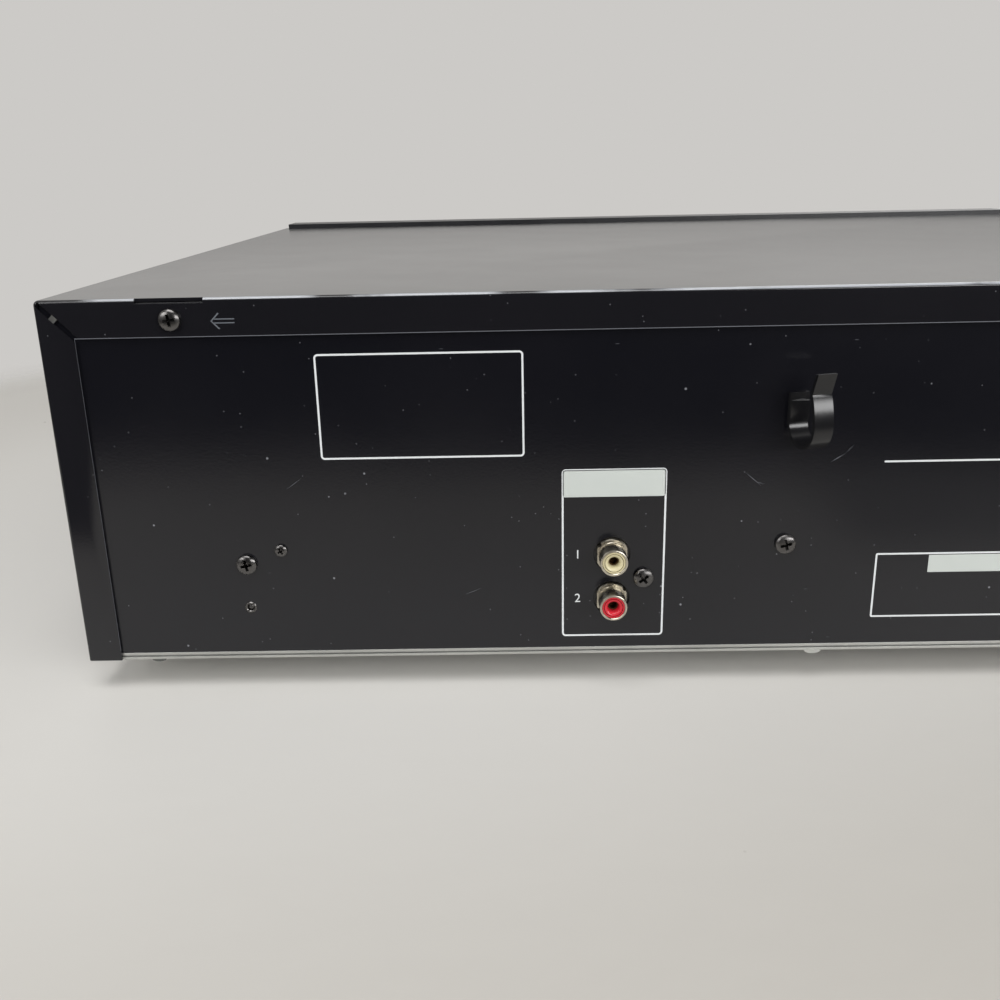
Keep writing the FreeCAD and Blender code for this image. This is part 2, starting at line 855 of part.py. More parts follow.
def make_jacks():
    """Two phono sockets: moulded block inside, turned shells through the panel, a coloured insert in each."""
    block = Piece("jack_block")
    half = d.jack_pitch / 2
    left, right = d.jack_x - half, d.jack_x + half
    block.pad("XZ", panel_in - d.jack_depth, panel_in, rect(left, right, board_top, d.jack_high + half))
    block.cut("XZ", panel_in - d.jack_hole, panel_in,
              *[circle(d.jack_x, z, d.jack_bore) for z in (d.jack_high, jack_low)])
    ear, ear_back = d.jack_ear / 2, panel_in - d.jack_ear_thick
    x, z = jack_screw
    block.pad("XZ", ear_back, panel_in, rect(x - ear, left, z - ear, z + ear))
    block.cut("XZ", ear_back, panel_in, circle(x, z, screw_hole))
    node("jack_block", block)
    bore = d.jack_radius - d.jack_wall
    shells = []
    ring_top = d.panel_wall + d.jack_ring_height
    tip = d.panel_wall + d.jack_reach
    for label, z in (("jack_insert_white", d.jack_high), ("jack_insert_red", jack_low)):
        shell = Piece("jack_shell")
        shell.turn(path((bore, 0), (d.jack_ring, 0), (d.jack_ring, ring_top), (d.jack_radius, ring_top),
                        (d.jack_radius, tip), (bore, tip)))
        shells.append(shell.place(d.jack_x, panel_in, z).face_way("+Y"))
        insert = Piece(label)
        radius, end = bore - d.fit, tip - d.jack_insert_set
        insert.turn(path((d.jack_bore, 0), (radius, 0), (radius, end), (d.jack_bore, end)))
        node(label, insert.place(d.jack_x, panel_in, z).face_way("+Y"))
    node("jack_shells", group("jack_shells", shells))


def make_gland():
    """Bush for the mains cord: a flange outside and a barrel through the panel."""
    gland = Piece("cord_gland")
    body, bore, reach = d.gland_body, d.gland_bore, d.gland_reach
    gland.turn(path((bore, -reach), (body, -reach), (body, 0), (d.gland_flange, 0),
                    (d.gland_flange, d.gland_rim), (body, reach), (bore, reach)))
    node("cord_gland", gland.place(gland_x, panel_out, d.gland_z).face_way("+Y"))


def make_cord_clip():
    """Open loop that holds the folded cord: wall on the panel, round belly, throat and flared lip."""
    band = Piece("clip_band")
    loop, thick = d.clip_loop, d.clip_band
    near, far = loop, loop + thick
    centre = far
    sweep = (d.clip_throat * d.clip_throat + d.clip_lean * d.clip_lean) / (2 * d.clip_lean)
    throat = centre + loop + thick / 2 - d.clip_lean
    lip = throat + d.clip_lean
    lip_top = d.clip_throat + d.clip_lip
    band.pad("YZ", -d.clip_width, 0, path(
        (0, d.clip_wall), (0, 0), (centre, -far, far, False), (centre + far, 0, far, False),
        (throat + thick / 2, d.clip_throat, sweep + thick / 2, False), (lip + thick / 2, lip_top),
        (lip - thick / 2, lip_top), (throat - thick / 2, d.clip_throat),
        (centre + near, 0, sweep - thick / 2, True), (centre, -near, near, True), (thick, 0, near, True),
        (thick, d.clip_wall)))
    spot = FreeCAD.Placement(FreeCAD.Vector(), FreeCAD.Rotation(FreeCAD.Vector(0, 0, 1), mm(d.clip_turn)))
    band.body.Placement = spot
    band.place(d.clip_x, panel_out + clip_skew, d.clip_z - d.clip_loop / 2)
    foot = Piece("clip_foot")
    foot.pad("XZ", panel_out, panel_out + clip_skew + thick,
             rect(d.clip_x - d.clip_width, d.clip_x - thick / 2, d.clip_z - loop / 2, d.clip_z + loop / 2))
    foot.pad("XZ", panel_in - thick, panel_out, circle(clip_stud_x, d.clip_z, d.clip_stud))
    joined = doc.addObject("Part::MultiFuse", "cord_clip")
    joined.Shapes = [band.body, foot.body]
    node("cord_clip", joined)


# ---------------------------------------------------------------- moulded front and controls

left_x = d.left_column - fascia_half
level_x = d.level_edge - fascia_half
dial_x = fascia_half - d.dial_edge
column_x = (door_half + fascia_half) / 2
last_key_x = fascia_half - d.disc_key_edge
first_key_x = last_key_x - 4 * d.disc_key_pitch
row_end = last_key_x + d.disc_key_width / 2
stop_x = row_end - d.pause_width / 2 + d.button_flange
pause_x = stop_x - d.pause_width - d.deck_key_gap
play_x = pause_x - (d.pause_width + d.play_width) / 2 - d.deck_key_gap - 2 * d.button_flange
window_half = first_key_x - d.disc_key_width / 2 - d.window_gap
keyboard_half = fascia_half - d.keyboard_edge

# x, z, width, height
KEYS = {
    "power_button": (left_x, d.power_z, d.power_width, d.power_height),
    "open_close_button": (column_x, d.open_close_z, d.side_key_width, d.side_key_height),
    "disc_skip_button": (column_x, d.disc_skip_z, d.side_key_width, d.side_key_height),
    "play_button": (play_x, d.deck_key_z, d.play_width, d.deck_key_height),
    "pause_button": (pause_x, d.deck_key_z, d.pause_width, d.deck_key_height),
    "stop_button": (stop_x, d.deck_key_z, d.pause_width, d.deck_key_height),
}
for index in range(5):
    KEYS[f"disc_button_{index + 1}"] = (
        first_key_x + index * d.disc_key_pitch, d.disc_key_z, d.disc_key_width, d.disc_key_height)


def button_outline(x, z, width, height, grow):
    return rect(x - width / 2 - grow, x + width / 2 + grow, z - height / 2 - grow, z + height / 2 + grow)


def make_front_panel():
    """Moulded shell: drawer opening, window recess, bosses for the key board and holes for the controls."""
    front = Piece("front_panel")
    low, high = d.fascia_bottom, d.case_height
    front.pad("XZ", face, cover_front, rect(-fascia_half, fascia_half, low, high))
    at_face = mm(face)
    front.soften(d.fascia_round, lambda p, e: abs(p.y - at_face) < 0.01)
    wall = d.fascia_side
    front.cut("XZ", fascia_back, cover_front,
              rect(wall - fascia_half, fascia_half - wall, low + wall, high - wall))
    gap = d.door_gap
    front.cut("XZ", face, fascia_back,
              rect(-door_half - gap, door_half + gap, d.door_low - gap, d.door_high + gap))
    fit = d.fit * 2
    front.cut("XZ", face, face + d.window_thick,
              rect(-window_half - fit, window_half + fit, d.window_low - fit, d.window_high + fit))
    lip = d.window_lip
    front.cut("XZ", face + d.window_thick, fascia_back,
              rect(lip - window_half, window_half - lip, d.window_low + lip, d.window_high - lip))
    holes = [button_outline(*spot, d.button_gap) for spot in KEYS.values()]
    holes.append(circle(dial_x, d.dial_z, d.knob_shaft + d.fit))
    holes.append(circle(level_x, d.level_z, d.knob_shaft + d.fit))
    holes.append(circle(left_x, d.phones_z, phones_barrel + d.fit))
    front.cut("XZ", face, fascia_back, *holes)
    bosses = [circle(x, z, d.boss_radius) for x in boss_row for z in (boss_low, boss_high)]
    front.pad("XZ", fascia_back, face + d.keyboard_depth, *bosses)
    node("front_panel", front)
    window = Piece("display_window")
    window.pad("XZ", face, face + d.window_thick,
               rect(-window_half, window_half, d.window_low, d.window_high))
    node("display_window", window)
    door = Piece("tray_door")
    door.pad("XZ", face, fascia_back, rect(-door_half, door_half, d.door_low, d.door_high))
    door.soften(d.fascia_wall / 3, lambda p, e: abs(p.y - at_face) < 0.01)
    node("tray_door", door)


phones_barrel = d.phones_bore + d.phones_wall
phones_body = phones_barrel + d.phones_body
boss_row = (-window_half - d.boss_left, window_half + d.boss_right, keyboard_half - d.boss_end)
boss_low = d.keyboard_low + d.boss_radius
boss_high = d.keyboard_high - d.boss_radius / 2


def make_key_board():
    """Circuit board behind the controls, and the display tube soldered to it."""
    board = Piece("key_board")
    near = face + d.keyboard_depth
    board.pad("XZ", near, near + d.keyboard_thick,
              rect(-keyboard_half, keyboard_half, d.keyboard_low, d.keyboard_high))
    board.cut("XZ", near, near + d.keyboard_thick, circle(left_x, d.phones_z, phones_body + d.button_gap))
    node("key_board", board)
    tube = Piece("display_tube")
    lip = d.window_lip
    tube.pad("XZ", near - d.tube_thick, near,
             rect(lip - window_half, window_half - lip, d.window_low + lip, d.window_high - lip))
    node("display_tube", tube)


def make_phones():
    """Headphone socket: trim ring in front, barrel through the front, housing behind."""
    socket = Piece("headphone_jack")
    bore, wall, length = d.phones_bore, d.fascia_wall, d.phones_length
    rim, proud = phones_barrel + d.phones_rim, d.phones_rim_height
    bevel = proud * 0.75
    socket.turn(path((bore, -length), (phones_body, -length), (phones_body, -wall), (phones_barrel, -wall),
                     (phones_barrel, 0), (rim, 0), (rim, proud), (bore + bevel, proud),
                     (bore, proud - bevel)))
    node("headphone_jack", socket.place(left_x, face, d.phones_z).face_way("-Y"))


def make_knob(label, x, z, radius):
    """Turned knob with a hollow back, on a shaft that runs in the front's wall."""
    knob = Piece(label)
    proud, shaft, gap = d.dial_proud, d.knob_shaft, d.knob_gap
    inner, end, bevel = radius - d.knob_wall, d.keyboard_depth - gap, d.knob_bevel
    knob.turn(path((0, -end), (shaft, -end), (shaft, proud / 2), (inner, proud / 2), (inner, gap),
                   (radius, gap), (radius, proud - bevel), (radius - bevel, proud), (0, proud)))
    node(label, knob.place(x, face, z).face_way("-Y"))


def make_button(label, x, z, width, height):
    """Cap in front, a flange that stops it behind the wall and a stem towards the switch."""
    key = Piece(label)
    flange = fascia_back + d.knob_gap / 4
    key.pad("XZ", face - d.button_proud, flange, button_outline(x, z, width, height, 0))
    key.pad("XZ", flange, flange + d.button_flange, button_outline(x, z, width, height, d.button_flange))
    end = face + d.keyboard_depth - d.button_travel - d.button_gap
    key.pad("XZ", flange + d.button_flange, end, circle(x, z, d.button_stem))
    tip = mm(face - d.button_proud)
    key.soften(d.key_round, lambda p, e: abs(p.y - tip) < 0.01)
    node(label, key)


def make_controls():
    make_key_board()
    make_phones()
    make_knob("select_dial", dial_x, d.dial_z, d.dial_radius)
    make_knob("level_knob", level_x, d.level_z, d.level_radius)
    for label, spot in KEYS.items():
        make_button(label, *spot)


# ---------------------------------------------------------------- toothed pieces

TOOTH_HEIGHT = 0.7
TOOTH_DEPTH = 0.95
PRESSURE = math.radians(20)


def involute(angle):
    return math.tan(angle) - angle


def tooth_half_angle(radius, pitch_radius, teeth, play):
    """Half the angle that an involute tooth fills at a radius; below the base circle the flank is radial."""
    base = pitch_radius * math.cos(PRESSURE)
    at_pitch = math.pi / (2 * teeth) - play / (2 * pitch_radius)
    if radius <= base:
        return at_pitch + involute(PRESSURE)
    return at_pitch + involute(PRESSURE) - involute(math.acos(base / radius))


def gear_face(teeth, module, start_angle):
    """Face of a spur gear about the origin, with a tooth centred on start_angle (degrees)."""
    pitch = teeth * module / 2
    root, tip = pitch - TOOTH_DEPTH * module, pitch + TOOTH_HEIGHT * module
    play = mm(d.gear_play)
    edges = []
    step = 2 * math.pi / teeth

    def at(radius, angle):
        return FreeCAD.Vector(radius * math.cos(angle), radius * math.sin(angle), 0)

    for index in range(teeth):
        centre = math.radians(start_angle) + index * step
        middle = (max(root, pitch * math.cos(PRESSURE)) + tip) / 2
        low, mid, high = (tooth_half_angle(r, pitch, teeth, play) for r in (root, middle, tip))
        gap = centre + step / 2
        edges.append(Part.Arc(at(root, centre - low), at(middle, centre - mid), at(tip, centre - high)))
        edges.append(Part.Arc(at(tip, centre - high), at(tip, centre), at(tip, centre + high)))
        edges.append(Part.Arc(at(tip, centre + high), at(middle, centre + mid), at(root, centre + low)))
        edges.append(Part.Arc(at(root, centre + low), at(root, gap), at(root, centre + step - low)))
    return Part.Face(Part.Wire([edge.toShape() for edge in edges]))


def gear_solid(label, teeth, module, start_angle, low, high):
    """Spur gear standing on its own Z axis, from low to high."""
    made = doc.addObject("Part::Feature", label)
    shape = gear_face(int(mm(teeth)), mm(module), start_angle).extrude(FreeCAD.Vector(0, 0, mm(high - low)))
    made.Shape = shape
    made.setExpression("Placement.Base.z", str(low))
    return made


def rack_outline(pitch_x, back_x, start, count, module, play):
    """Rack along Y with its teeth towards the pitch line; the first tooth's middle is at start."""
    way = 1 if mm(pitch_x) > mm(back_x) else -1
    pitch = mm(module) * math.pi
    slope = math.tan(PRESSURE)
    high = TOOTH_HEIGHT * mm(module)
    low = TOOTH_DEPTH * mm(module)
    half = pitch / 4 - mm(play) / 2
    line = mm(pitch_x)
    points = []
    for index in range(count):
        y = mm(start) + index * pitch
        points.append((line - way * low, y - half - low * slope))
        points.append((line + way * high, y - half + high * slope))
        points.append((line + way * high, y + half - high * slope))
        points.append((line - way * low, y + half + low * slope))
    first, last = points[0], points[-1]
    points.append((mm(back_x), last[1]))
    points.append((mm(back_x), first[1]))
    return points


def rack_solid(label, pitch_x, back_x, start, end, module, low, high, phase_y):
    """Rack bar between start and end, with a gap centred on phase_y, where its gear's tooth meets it."""
    pitch = mm(module) * math.pi
    tooth = mm(phase_y) - pitch / 2
    first = tooth - math.floor((tooth - mm(start)) / pitch) * pitch
    count = int((mm(end) - first) / pitch)
    points = rack_outline(pitch_x, back_x, first, count, module, d.gear_play)
    corners = [FreeCAD.Vector(x, y, 0) for x, y in points]
    made = doc.addObject("Part::Feature", label)
    outline = Part.Face(Part.makePolygon(corners + corners[:1]))
    made.Shape = outline.extrude(FreeCAD.Vector(0, 0, mm(high - low)))
    made.setExpression("Placement.Base.z", str(low))
    return made


def fuse(label, parts):
    joined = doc.addObject("Part::MultiFuse", label)
    joined.Shapes = [part.body if isinstance(part, Piece) else part for part in parts]
    joined.Label = label
    return joined


def cut_bore(label, solid, radius, low, high):
    """Cuts an upright bore on the solid's own axis."""
    tool = doc.addObject("Part::Cylinder", "bore")
    tool.setExpression("Radius", str(radius))
    tool.setExpression("Height", f"({high}) - ({low})")
    tool.setExpression("Placement.Base.z", str(low))
    made = doc.addObject("Part::Cut", label)
    made.Base = solid
    made.Tool = tool
    made.Label = label
    return made


def move(item, x, y, z=0):
    for letter, value in zip("xyz", (x, y, z)):
        item.setExpression(f"Placement.Base.{letter}", str(value))
    return item


# ---------------------------------------------------------------- drawer and carousel

carousel_y = fascia_back + tray_length / 2
spindle_y = carousel_y + d.pocket_ring
tray_top = d.tray_low + d.tray_floor
pinion_pitch = d.drive_module * d.pinion_teeth / 2
hub_pitch = d.drive_module * d.hub_teeth / 2
table_gear_y = carousel_y - hub_pitch - pinion_pitch
deck_front = fascia_back + d.deck_setback
deck_rear = tray_rear + d.deck_beyond
deck_half = drawer_half + d.deck_clear
rack_x = drawer_half - d.rack_inset
rack_front = deck_front + d.rack_setback
loader_x = rack_x - pinion_pitch
loader_y = deck_front + d.loader_setback
post_top = d.carousel_high + d.fit * 4
table_low = d.carousel_low - d.slide_gap


def make_tray():
    """Drawer moulding: floor with side lips, round well for the carousel, slot for the player, and a rack."""
    tray = Piece("tray_form")
    wall = d.tray_wall
    lip = drawer_half
    body_half = lip - d.tray_side
    tray.pad("XY", d.tray_low, tray_top, rect(-lip, lip, fascia_back, tray_rear))
    well = carousel_radius + d.carousel_gap
    rib = carousel_radius - d.rib_inset
    tray.pad("XY", tray_top, d.tray_rim, rect(-body_half, body_half, fascia_back, tray_rear),
             circle(0, carousel_y, well))
    tray.pad("XY", tray_top, post_top, circle(0, carousel_y, d.post_radius))
    tray.pad("XY", tray_top, table_low - d.slide_gap,
             circle(0, carousel_y, rib), circle(0, carousel_y, rib + wall))
    tray.cut("XY", d.tray_low, d.tray_rim,
             rect(-d.slot_half, d.slot_half, carousel_y + d.slot_start, tray_rear))
    tray.cut("XY", d.tray_low, tray_top, circle(0, table_gear_y, d.motor_shaft * 2))
    tray.cut("XY", tray_top + wall, post_top, circle(0, carousel_y, d.cap_shank + d.fit))
    rack_end = rack_front + d.drawer_travel + d.rack_spare
    rack = rack_solid("drawer_rack", rack_x, rack_x + d.rack_bar, rack_front, rack_end, d.drive_module,
                      d.rack_low, d.tray_low, loader_y)
    node("drawer_tray", fuse("drawer_tray", [tray, rack]))
    cap = Piece("carousel_cap")
    shank_low, cap_top = tray_top + wall + d.slide_gap, post_top + d.cap_height
    cap.turn(path((0, shank_low), (d.cap_shank, shank_low), (d.cap_shank, post_top), (d.cap_radius, post_top),
                  (d.cap_radius, post_top + d.cap_height / 2), (d.cap_radius - d.cap_height, cap_top),
                  (0, cap_top)))
    node("carousel_cap", cap.place(0, carousel_y))


def make_carousel():
    """Round table with five stepped disc pockets, each with a keyhole for the player and a finger notch."""
    table = Piece("carousel_form")
    ring = d.pocket_ring
    table.pad("XY", d.carousel_low, d.carousel_high, circle(0, 0, carousel_radius))
    large = table.cut("XY", d.pocket_floor, d.carousel_high, circle(0, ring, d.pocket_radius))
    small = table.cut("XY", d.small_pocket_floor, d.pocket_floor, circle(0, ring, d.small_pocket_radius))
    half = d.opening_half
    inner = ring - d.keyhole_reach
    hole = table.cut("XY", d.carousel_low, d.small_pocket_floor, path(
        (half, ring), (0, ring + half, half, False), (-half, ring, half, False),
        (-half, inner), (half, inner)))
    keyhole = rect(-half, half, inner, ring - d.keyhole_end)
    step = table.cut("XY", d.small_pocket_floor, d.pocket_floor, keyhole)
    upper = table.cut("XY", d.pocket_floor, d.carousel_high, keyhole)
    finger = table.cut("XY", d.pocket_floor, d.carousel_high, circle(0, carousel_radius, d.notch_radius))
    table.repeat_round([large, small, hole, step, upper, finger], 5)
    hub = gear_solid("hub_gear", d.hub_teeth, d.drive_module, 0, d.hub_gear_low, d.carousel_low)
    blank = fuse("carousel_blank", [table, hub])
    made = cut_bore("carousel", blank, d.post_radius + d.fit, d.hub_gear_low, d.carousel_high)
    node("carousel", move(made, 0, carousel_y))


def make_table_drive():
    """Flat motor under the drawer's floor, with its pinion beside the carousel's hub gear."""
    motor = Piece("table_motor")
    shaft_top = table_low - d.slide_gap
    low, shaft = d.tray_low - d.table_motor_height, d.motor_shaft
    motor.turn(path((0, low), (d.motor_radius, low), (d.motor_radius, d.tray_low), (shaft, d.tray_low),
                    (shaft, shaft_top), (0, shaft_top)))
    node("table_motor", motor.place(0, table_gear_y))
    meet = 90 + 180 / SIZES["pinion_teeth"]
    pinion = gear_solid("table_pinion", d.pinion_teeth, d.drive_module, meet, d.hub_gear_low, shaft_top)
    made = cut_bore("table_gear", pinion, d.motor_shaft + d.fit, d.hub_gear_low, shaft_top)
    node("table_gear", move(made, 0, table_gear_y))


def make_loader():
    """Belt drive that moves the drawer: motor under the deck, two pulleys, and a pinion on the rack."""
    low, high = d.pulley_low, d.pulley_low + d.pulley_height
    middle = (low + high) / 2
    groove = d.belt_section
    hub = d.loader_hub
    wheel = Piece("loading_pulley")
    big = d.pulley_radius
    wheel.turn(path((0, low), (big, low), (big, middle - groove), (big - groove, middle - groove),
                    (big - groove, middle + groove), (big, middle + groove), (big, high), (hub, high),
                    (hub, d.rack_low + d.slide_gap), (0, d.rack_low + d.slide_gap)))
    pinion_top = d.tray_low - d.slide_gap
    pinion = gear_solid("loading_pinion", d.pinion_teeth, d.drive_module, 0, d.rack_low + d.slide_gap,
                        pinion_top)
    blank = fuse("loading_blank", [wheel, pinion])
    made = cut_bore("loading_gear", blank, d.loader_post + d.fit, low, pinion_top)
    node("loading_gear", move(made, loader_x, loader_y))
    small = d.motor_pulley_radius
    pulley = Piece("motor_pulley")
    bore, waist = d.motor_shaft + d.fit, small - groove
    pulley.turn(path((bore, low), (small, low), (small, middle - groove), (waist, middle - groove),
                     (waist, middle + groove), (small, middle + groove), (small, high), (bore, high)))
    node("motor_pulley", pulley.place(loader_x - d.motor_offset, loader_y))
    motor = Piece("loading_motor")
    base = d.deck_low - d.motor_length
    shaft = d.motor_shaft
    motor.turn(path((0, base), (d.motor_radius, base), (d.motor_radius, d.deck_low), (shaft, d.deck_low),
                    (shaft, high), (0, high)))
    node("loading_motor", motor.place(loader_x - d.motor_offset, loader_y))
    make_belt(middle)


def make_belt(middle):
    """Square rubber belt: two arcs about the pulleys and the tangents between them."""
    belt = Piece("loading_belt")
    span = d.motor_offset
    outlines = []
    for extra in (d.belt_gap, d.belt_gap + d.belt_section):
        big = d.pulley_radius - d.belt_section + extra
        small = d.motor_pulley_radius - d.belt_section + extra
        rise = (big - small) / span
        across = func("sqrt", 1 - rise * rise)
        outlines.append(path(
            (-(big * rise), big * across, big, False), (-(small * rise) - span, small * across),
            (-span - small, 0, small, False), (-(small * rise) - span, -(small * across), small, False),
            (-(big * rise), -(big * across)), (big, 0, big, False)))
    half = d.belt_section / 2
    belt.pad("XY", middle - half, middle + half, *outlines)
    node("loading_belt", belt.place(loader_x, loader_y))


# ---------------------------------------------------------------- deck that carries the drawer

pivot_y = spindle_y - d.pivot_reach
pivot_half = d.player_half + d.player_clear
lug = d.bearing_lug
deck_top = d.deck_low + d.deck_thick
tilt = func("asin", d.lift_drop / d.pivot_reach)
player_end = d.pivot_reach + d.player_beyond
pin_reach = player_end + d.slider_room
slider_y = pivot_y + pin_reach - d.slider_thick
channel_y = slider_y + d.slider_thick + d.slide_gap


def make_mechanism_frame():
    """Moulded deck: walls with drawer rails and hold-down hooks, legs, player bearings, slider channel."""
    deck = Piece("mechanism_frame")
    half, wall = deck_half, d.deck_wall
    inner = half - wall
    deck.pad("XY", d.deck_low, deck_top, rect(-half, half, deck_front, deck_rear))
    deck.cut("XY", d.deck_low, deck_top, rect(-pivot_half, pivot_half, pivot_y - 2 * lug, channel_y),
             circle(loader_x - d.motor_offset, loader_y, d.shaft_hole))
    deck.pad("XY", deck_top, d.deck_wall_top, *both_sides(rect, inner, half, deck_front, deck_rear))
    rail_top = d.tray_low - d.slide_gap
    deck.pad("XY", rail_top - d.rail_height, rail_top,
             *both_sides(rect, inner - d.rail_reach, inner, deck_front, deck_rear))
    hook_low = tray_top + d.slide_gap
    middle = (deck_front + deck_rear) / 2
    for y in (deck_front + d.hook_end, middle, deck_rear - d.hook_end - d.hook_length):
        deck.pad("XY", hook_low, hook_low + d.rail_height,
                 *both_sides(rect, inner - d.hook_reach, inner, y, y + d.hook_length))
    leg_x = half - d.leg_inset
    leg_row = (deck_front + d.leg_end, middle, deck_rear - d.leg_end)
    legs = [circle(x, y, d.leg_radius) for x in (-leg_x, leg_x) for y in leg_row]
    deck.pad("XY", floor_top, d.deck_low, *legs)
    deck.pad("XY", deck_top, d.tray_low - d.slide_gap, circle(loader_x, loader_y, d.loader_post))
    bearing = d.pivot_height + lug
    outer = pivot_half + lug
    deck.pad("XY", deck_top, bearing, *both_sides(rect, pivot_half, outer, pivot_y - lug, pivot_y + lug))
    deck.cut("YZ", -outer, outer, circle(pivot_y, d.pivot_height, d.pivot_radius + d.fit))
    channel_half = pivot_half + d.channel_side
    back = channel_y + wall
    shelf = d.slider_low - d.slide_gap
    deck.pad("XY", shelf - wall, d.deck_low, rect(-channel_half, channel_half, channel_y, back))
    deck.pad("XY", shelf - wall, shelf, rect(-channel_half, channel_half, slider_y - wall, channel_y))
    deck.pad("XY", shelf, d.slider_low + d.guide_height,
             *both_sides(rect, d.guide_half, channel_half, slider_y - wall, slider_y - d.slide_gap))
    deck.cut("XZ", channel_y, back, rect(-2 * d.lift_pin, 2 * d.lift_pin, d.slider_low, d.deck_low))
    pin_way = pivot_y + player_end + d.lift_pin_reach + d.pin_clear
    deck.cut("XY", d.deck_low, deck_top, rect(-2 * d.lift_pin, 2 * d.lift_pin, channel_y - wall, pin_way))
    node("mechanism_frame", deck)


def make_clamp():
    """Steel bridge over the drawer, with the clamp puck hanging in its hole above the spindle."""
    bridge = Piece("clamp_bridge")
    low = d.deck_wall_top
    top = low + d.bridge_thick
    near, far = spindle_y - d.bridge_half, spindle_y + d.bridge_half
    bridge.pad("XY", low, top, rect(-deck_half, deck_half, near, far))
    bridge.pad("XY", top, top + d.bridge_lip, rect(-deck_half, deck_half, near, near + d.bridge_thick),
               rect(-deck_half, deck_half, far - d.bridge_thick, far))
    bridge.cut("XY", low, top, circle(0, spindle_y, d.puck_radius + d.puck_gap))
    node("clamp_bridge", bridge)
    puck = Piece("clamp_puck")
    rest = top + d.fit * 2
    high = rest + d.puck_flange_height
    socket_top = d.puck_low + d.puck_socket_depth
    puck.turn(path((0, socket_top), (d.puck_socket, socket_top), (d.puck_socket, d.puck_low),
                   (d.puck_radius, d.puck_low), (d.puck_radius, rest), (d.puck_flange, rest),
                   (d.puck_flange, high), (d.puck_radius, high),
                   (d.puck_radius - d.puck_bevel, high + d.puck_bevel), (0, high + d.puck_bevel)))
    node("clamp_puck", puck.place(0, spindle_y))


# ---------------------------------------------------------------- player, drawn level about its pivot

def on_player(item, x=0, y=0, z=0):
    """Seats a piece, drawn about the pivot, at x, y, z along the player's own axes, tipped down to rest."""
    target = item.body if isinstance(item, Piece) else item
    tipped = FreeCAD.Rotation(FreeCAD.Vector(1, 0, 0), -mm(tilt))
    target.Placement = FreeCAD.Placement(FreeCAD.Vector(), tipped)
    low, across = func("sin", tilt), func("cos", tilt)
    target.setExpression("Placement.Rotation.Angle", str(-tilt))
    target.setExpression("Placement.Base.x", str(x))
    target.setExpression("Placement.Base.y", str(pivot_y + y * across + z * low))
    target.setExpression("Placement.Base.z", str(d.pivot_height + z * across - y * low))
    return item


lens_y = d.pivot_reach - d.lens_start
sled_gear_x = d.sled_rack_x + d.sled_module * d.sled_gear_teeth / 2
sled_gear_y = lens_y - d.sled_gear_back
plate_top = d.player_low + d.player_thick
rod_z = -1 * d.rod_drop
sled_motor_top = -1 * d.sled_motor_drop
rod_end = d.pivot_reach - d.rod_gap
rod_start = rod_end - d.rod_length
block_starts = (rod_start, rod_end - d.rod_block)


def make_player_frame():
    """Tipping frame: plate with the sled opening, pivot pins, rod blocks, motor posts and the lift pin."""
    frame = Piece("base_unit_frame")
    half = d.player_half
    frame.pad("XY", d.player_low, plate_top, rect(-half, half, -1 * d.player_back, player_end))
    clear = d.plate_opening
    opening = d.sled_half + clear
    far = lens_y - d.lens_travel - d.sled_tail - 2 * clear
    frame.cut("XY", d.player_low, plate_top, rect(-opening, opening, far, lens_y + d.sled_nose + clear),
              circle(0, d.pivot_reach, d.hub_hole))
    frame.cut("XY", d.player_low, plate_top,
              *both_sides(rect, half - d.window_in, half - d.window_out, d.pivot_reach - d.window_near,
                          player_end - d.window_far))
    frame.pad("YZ", -pivot_half - lug, pivot_half + lug, circle(0, 0, d.pivot_radius))
    root = half - d.pin_root
    frame.cut("YZ", -root, root, rect(-1 * d.player_back, d.player_back, -2 * d.pivot_radius, d.player_low))
    block = d.rod_x + d.rod_radius + d.rod_wall
    for start in block_starts:
        frame.pad("XY", rod_z - d.block_drop, d.player_low, rect(-block, block, start, start + d.rod_block))
    frame.pad("XY", sled_motor_top, d.player_low, *[
        circle(sled_gear_x, sled_gear_y + way * d.sled_screw_reach, d.sled_screw_radius) for way in (-1, 1)])
    frame.pad("XZ", player_end - d.lift_pin, player_end + d.lift_pin_reach, circle(0, 0, d.lift_pin))
    rods = [circle(x, rod_z, d.rod_radius) for x in (-d.rod_x, d.rod_x)]
    for start in block_starts:
        frame.cut("XZ", start, start + d.rod_block, *rods)
    node("base_unit_frame", on_player(frame))
    pair = []
    for x in (-d.rod_x, d.rod_x):
        rod = Piece("guide_rod")
        rod.pad("XZ", rod_start, rod_end, circle(x, rod_z, d.rod_radius))
        pair.append(on_player(rod))
    node("guide_rods", group("guide_rods", pair))


def make_spindle():
    """Spindle motor under the plate and the turntable with its centring cone on the motor's shaft."""
    motor = Piece("spindle_motor")
    top = d.player_low
    disc = d.disc_plane - d.pivot_height
    shaft_top = disc - d.shaft_set
    radius, low = d.spindle_motor_radius, top - d.spindle_motor_height
    shaft, boss = d.motor_shaft, d.motor_boss
    motor.turn(path((0, low), (radius, low), (radius, top), (boss, top), (boss, plate_top),
                    (shaft, plate_top), (shaft, shaft_top), (0, shaft_top)))
    node("spindle_motor", on_player(motor, 0, d.pivot_reach))
    table = Piece("spindle_turntable")
    hub_low, bore_top = plate_top + d.hub_gap, shaft_top + d.hub_gap
    bore, rim = shaft + d.fit, d.turntable_radius
    cone, tip = d.cone_radius, d.cone_height
    table.turn(path((bore, hub_low), (d.table_hub, hub_low), (d.table_waist, disc - d.waist_drop),
                    (rim, disc - d.table_rim), (rim, disc), (cone, disc),
                    (cone - d.cone_edge, disc + d.cone_step), (cone - tip, disc + tip), (0, disc + tip),
                    (0, bore_top), (bore, bore_top)))
    node("spindle_turntable", on_player(table, 0, d.pivot_reach))


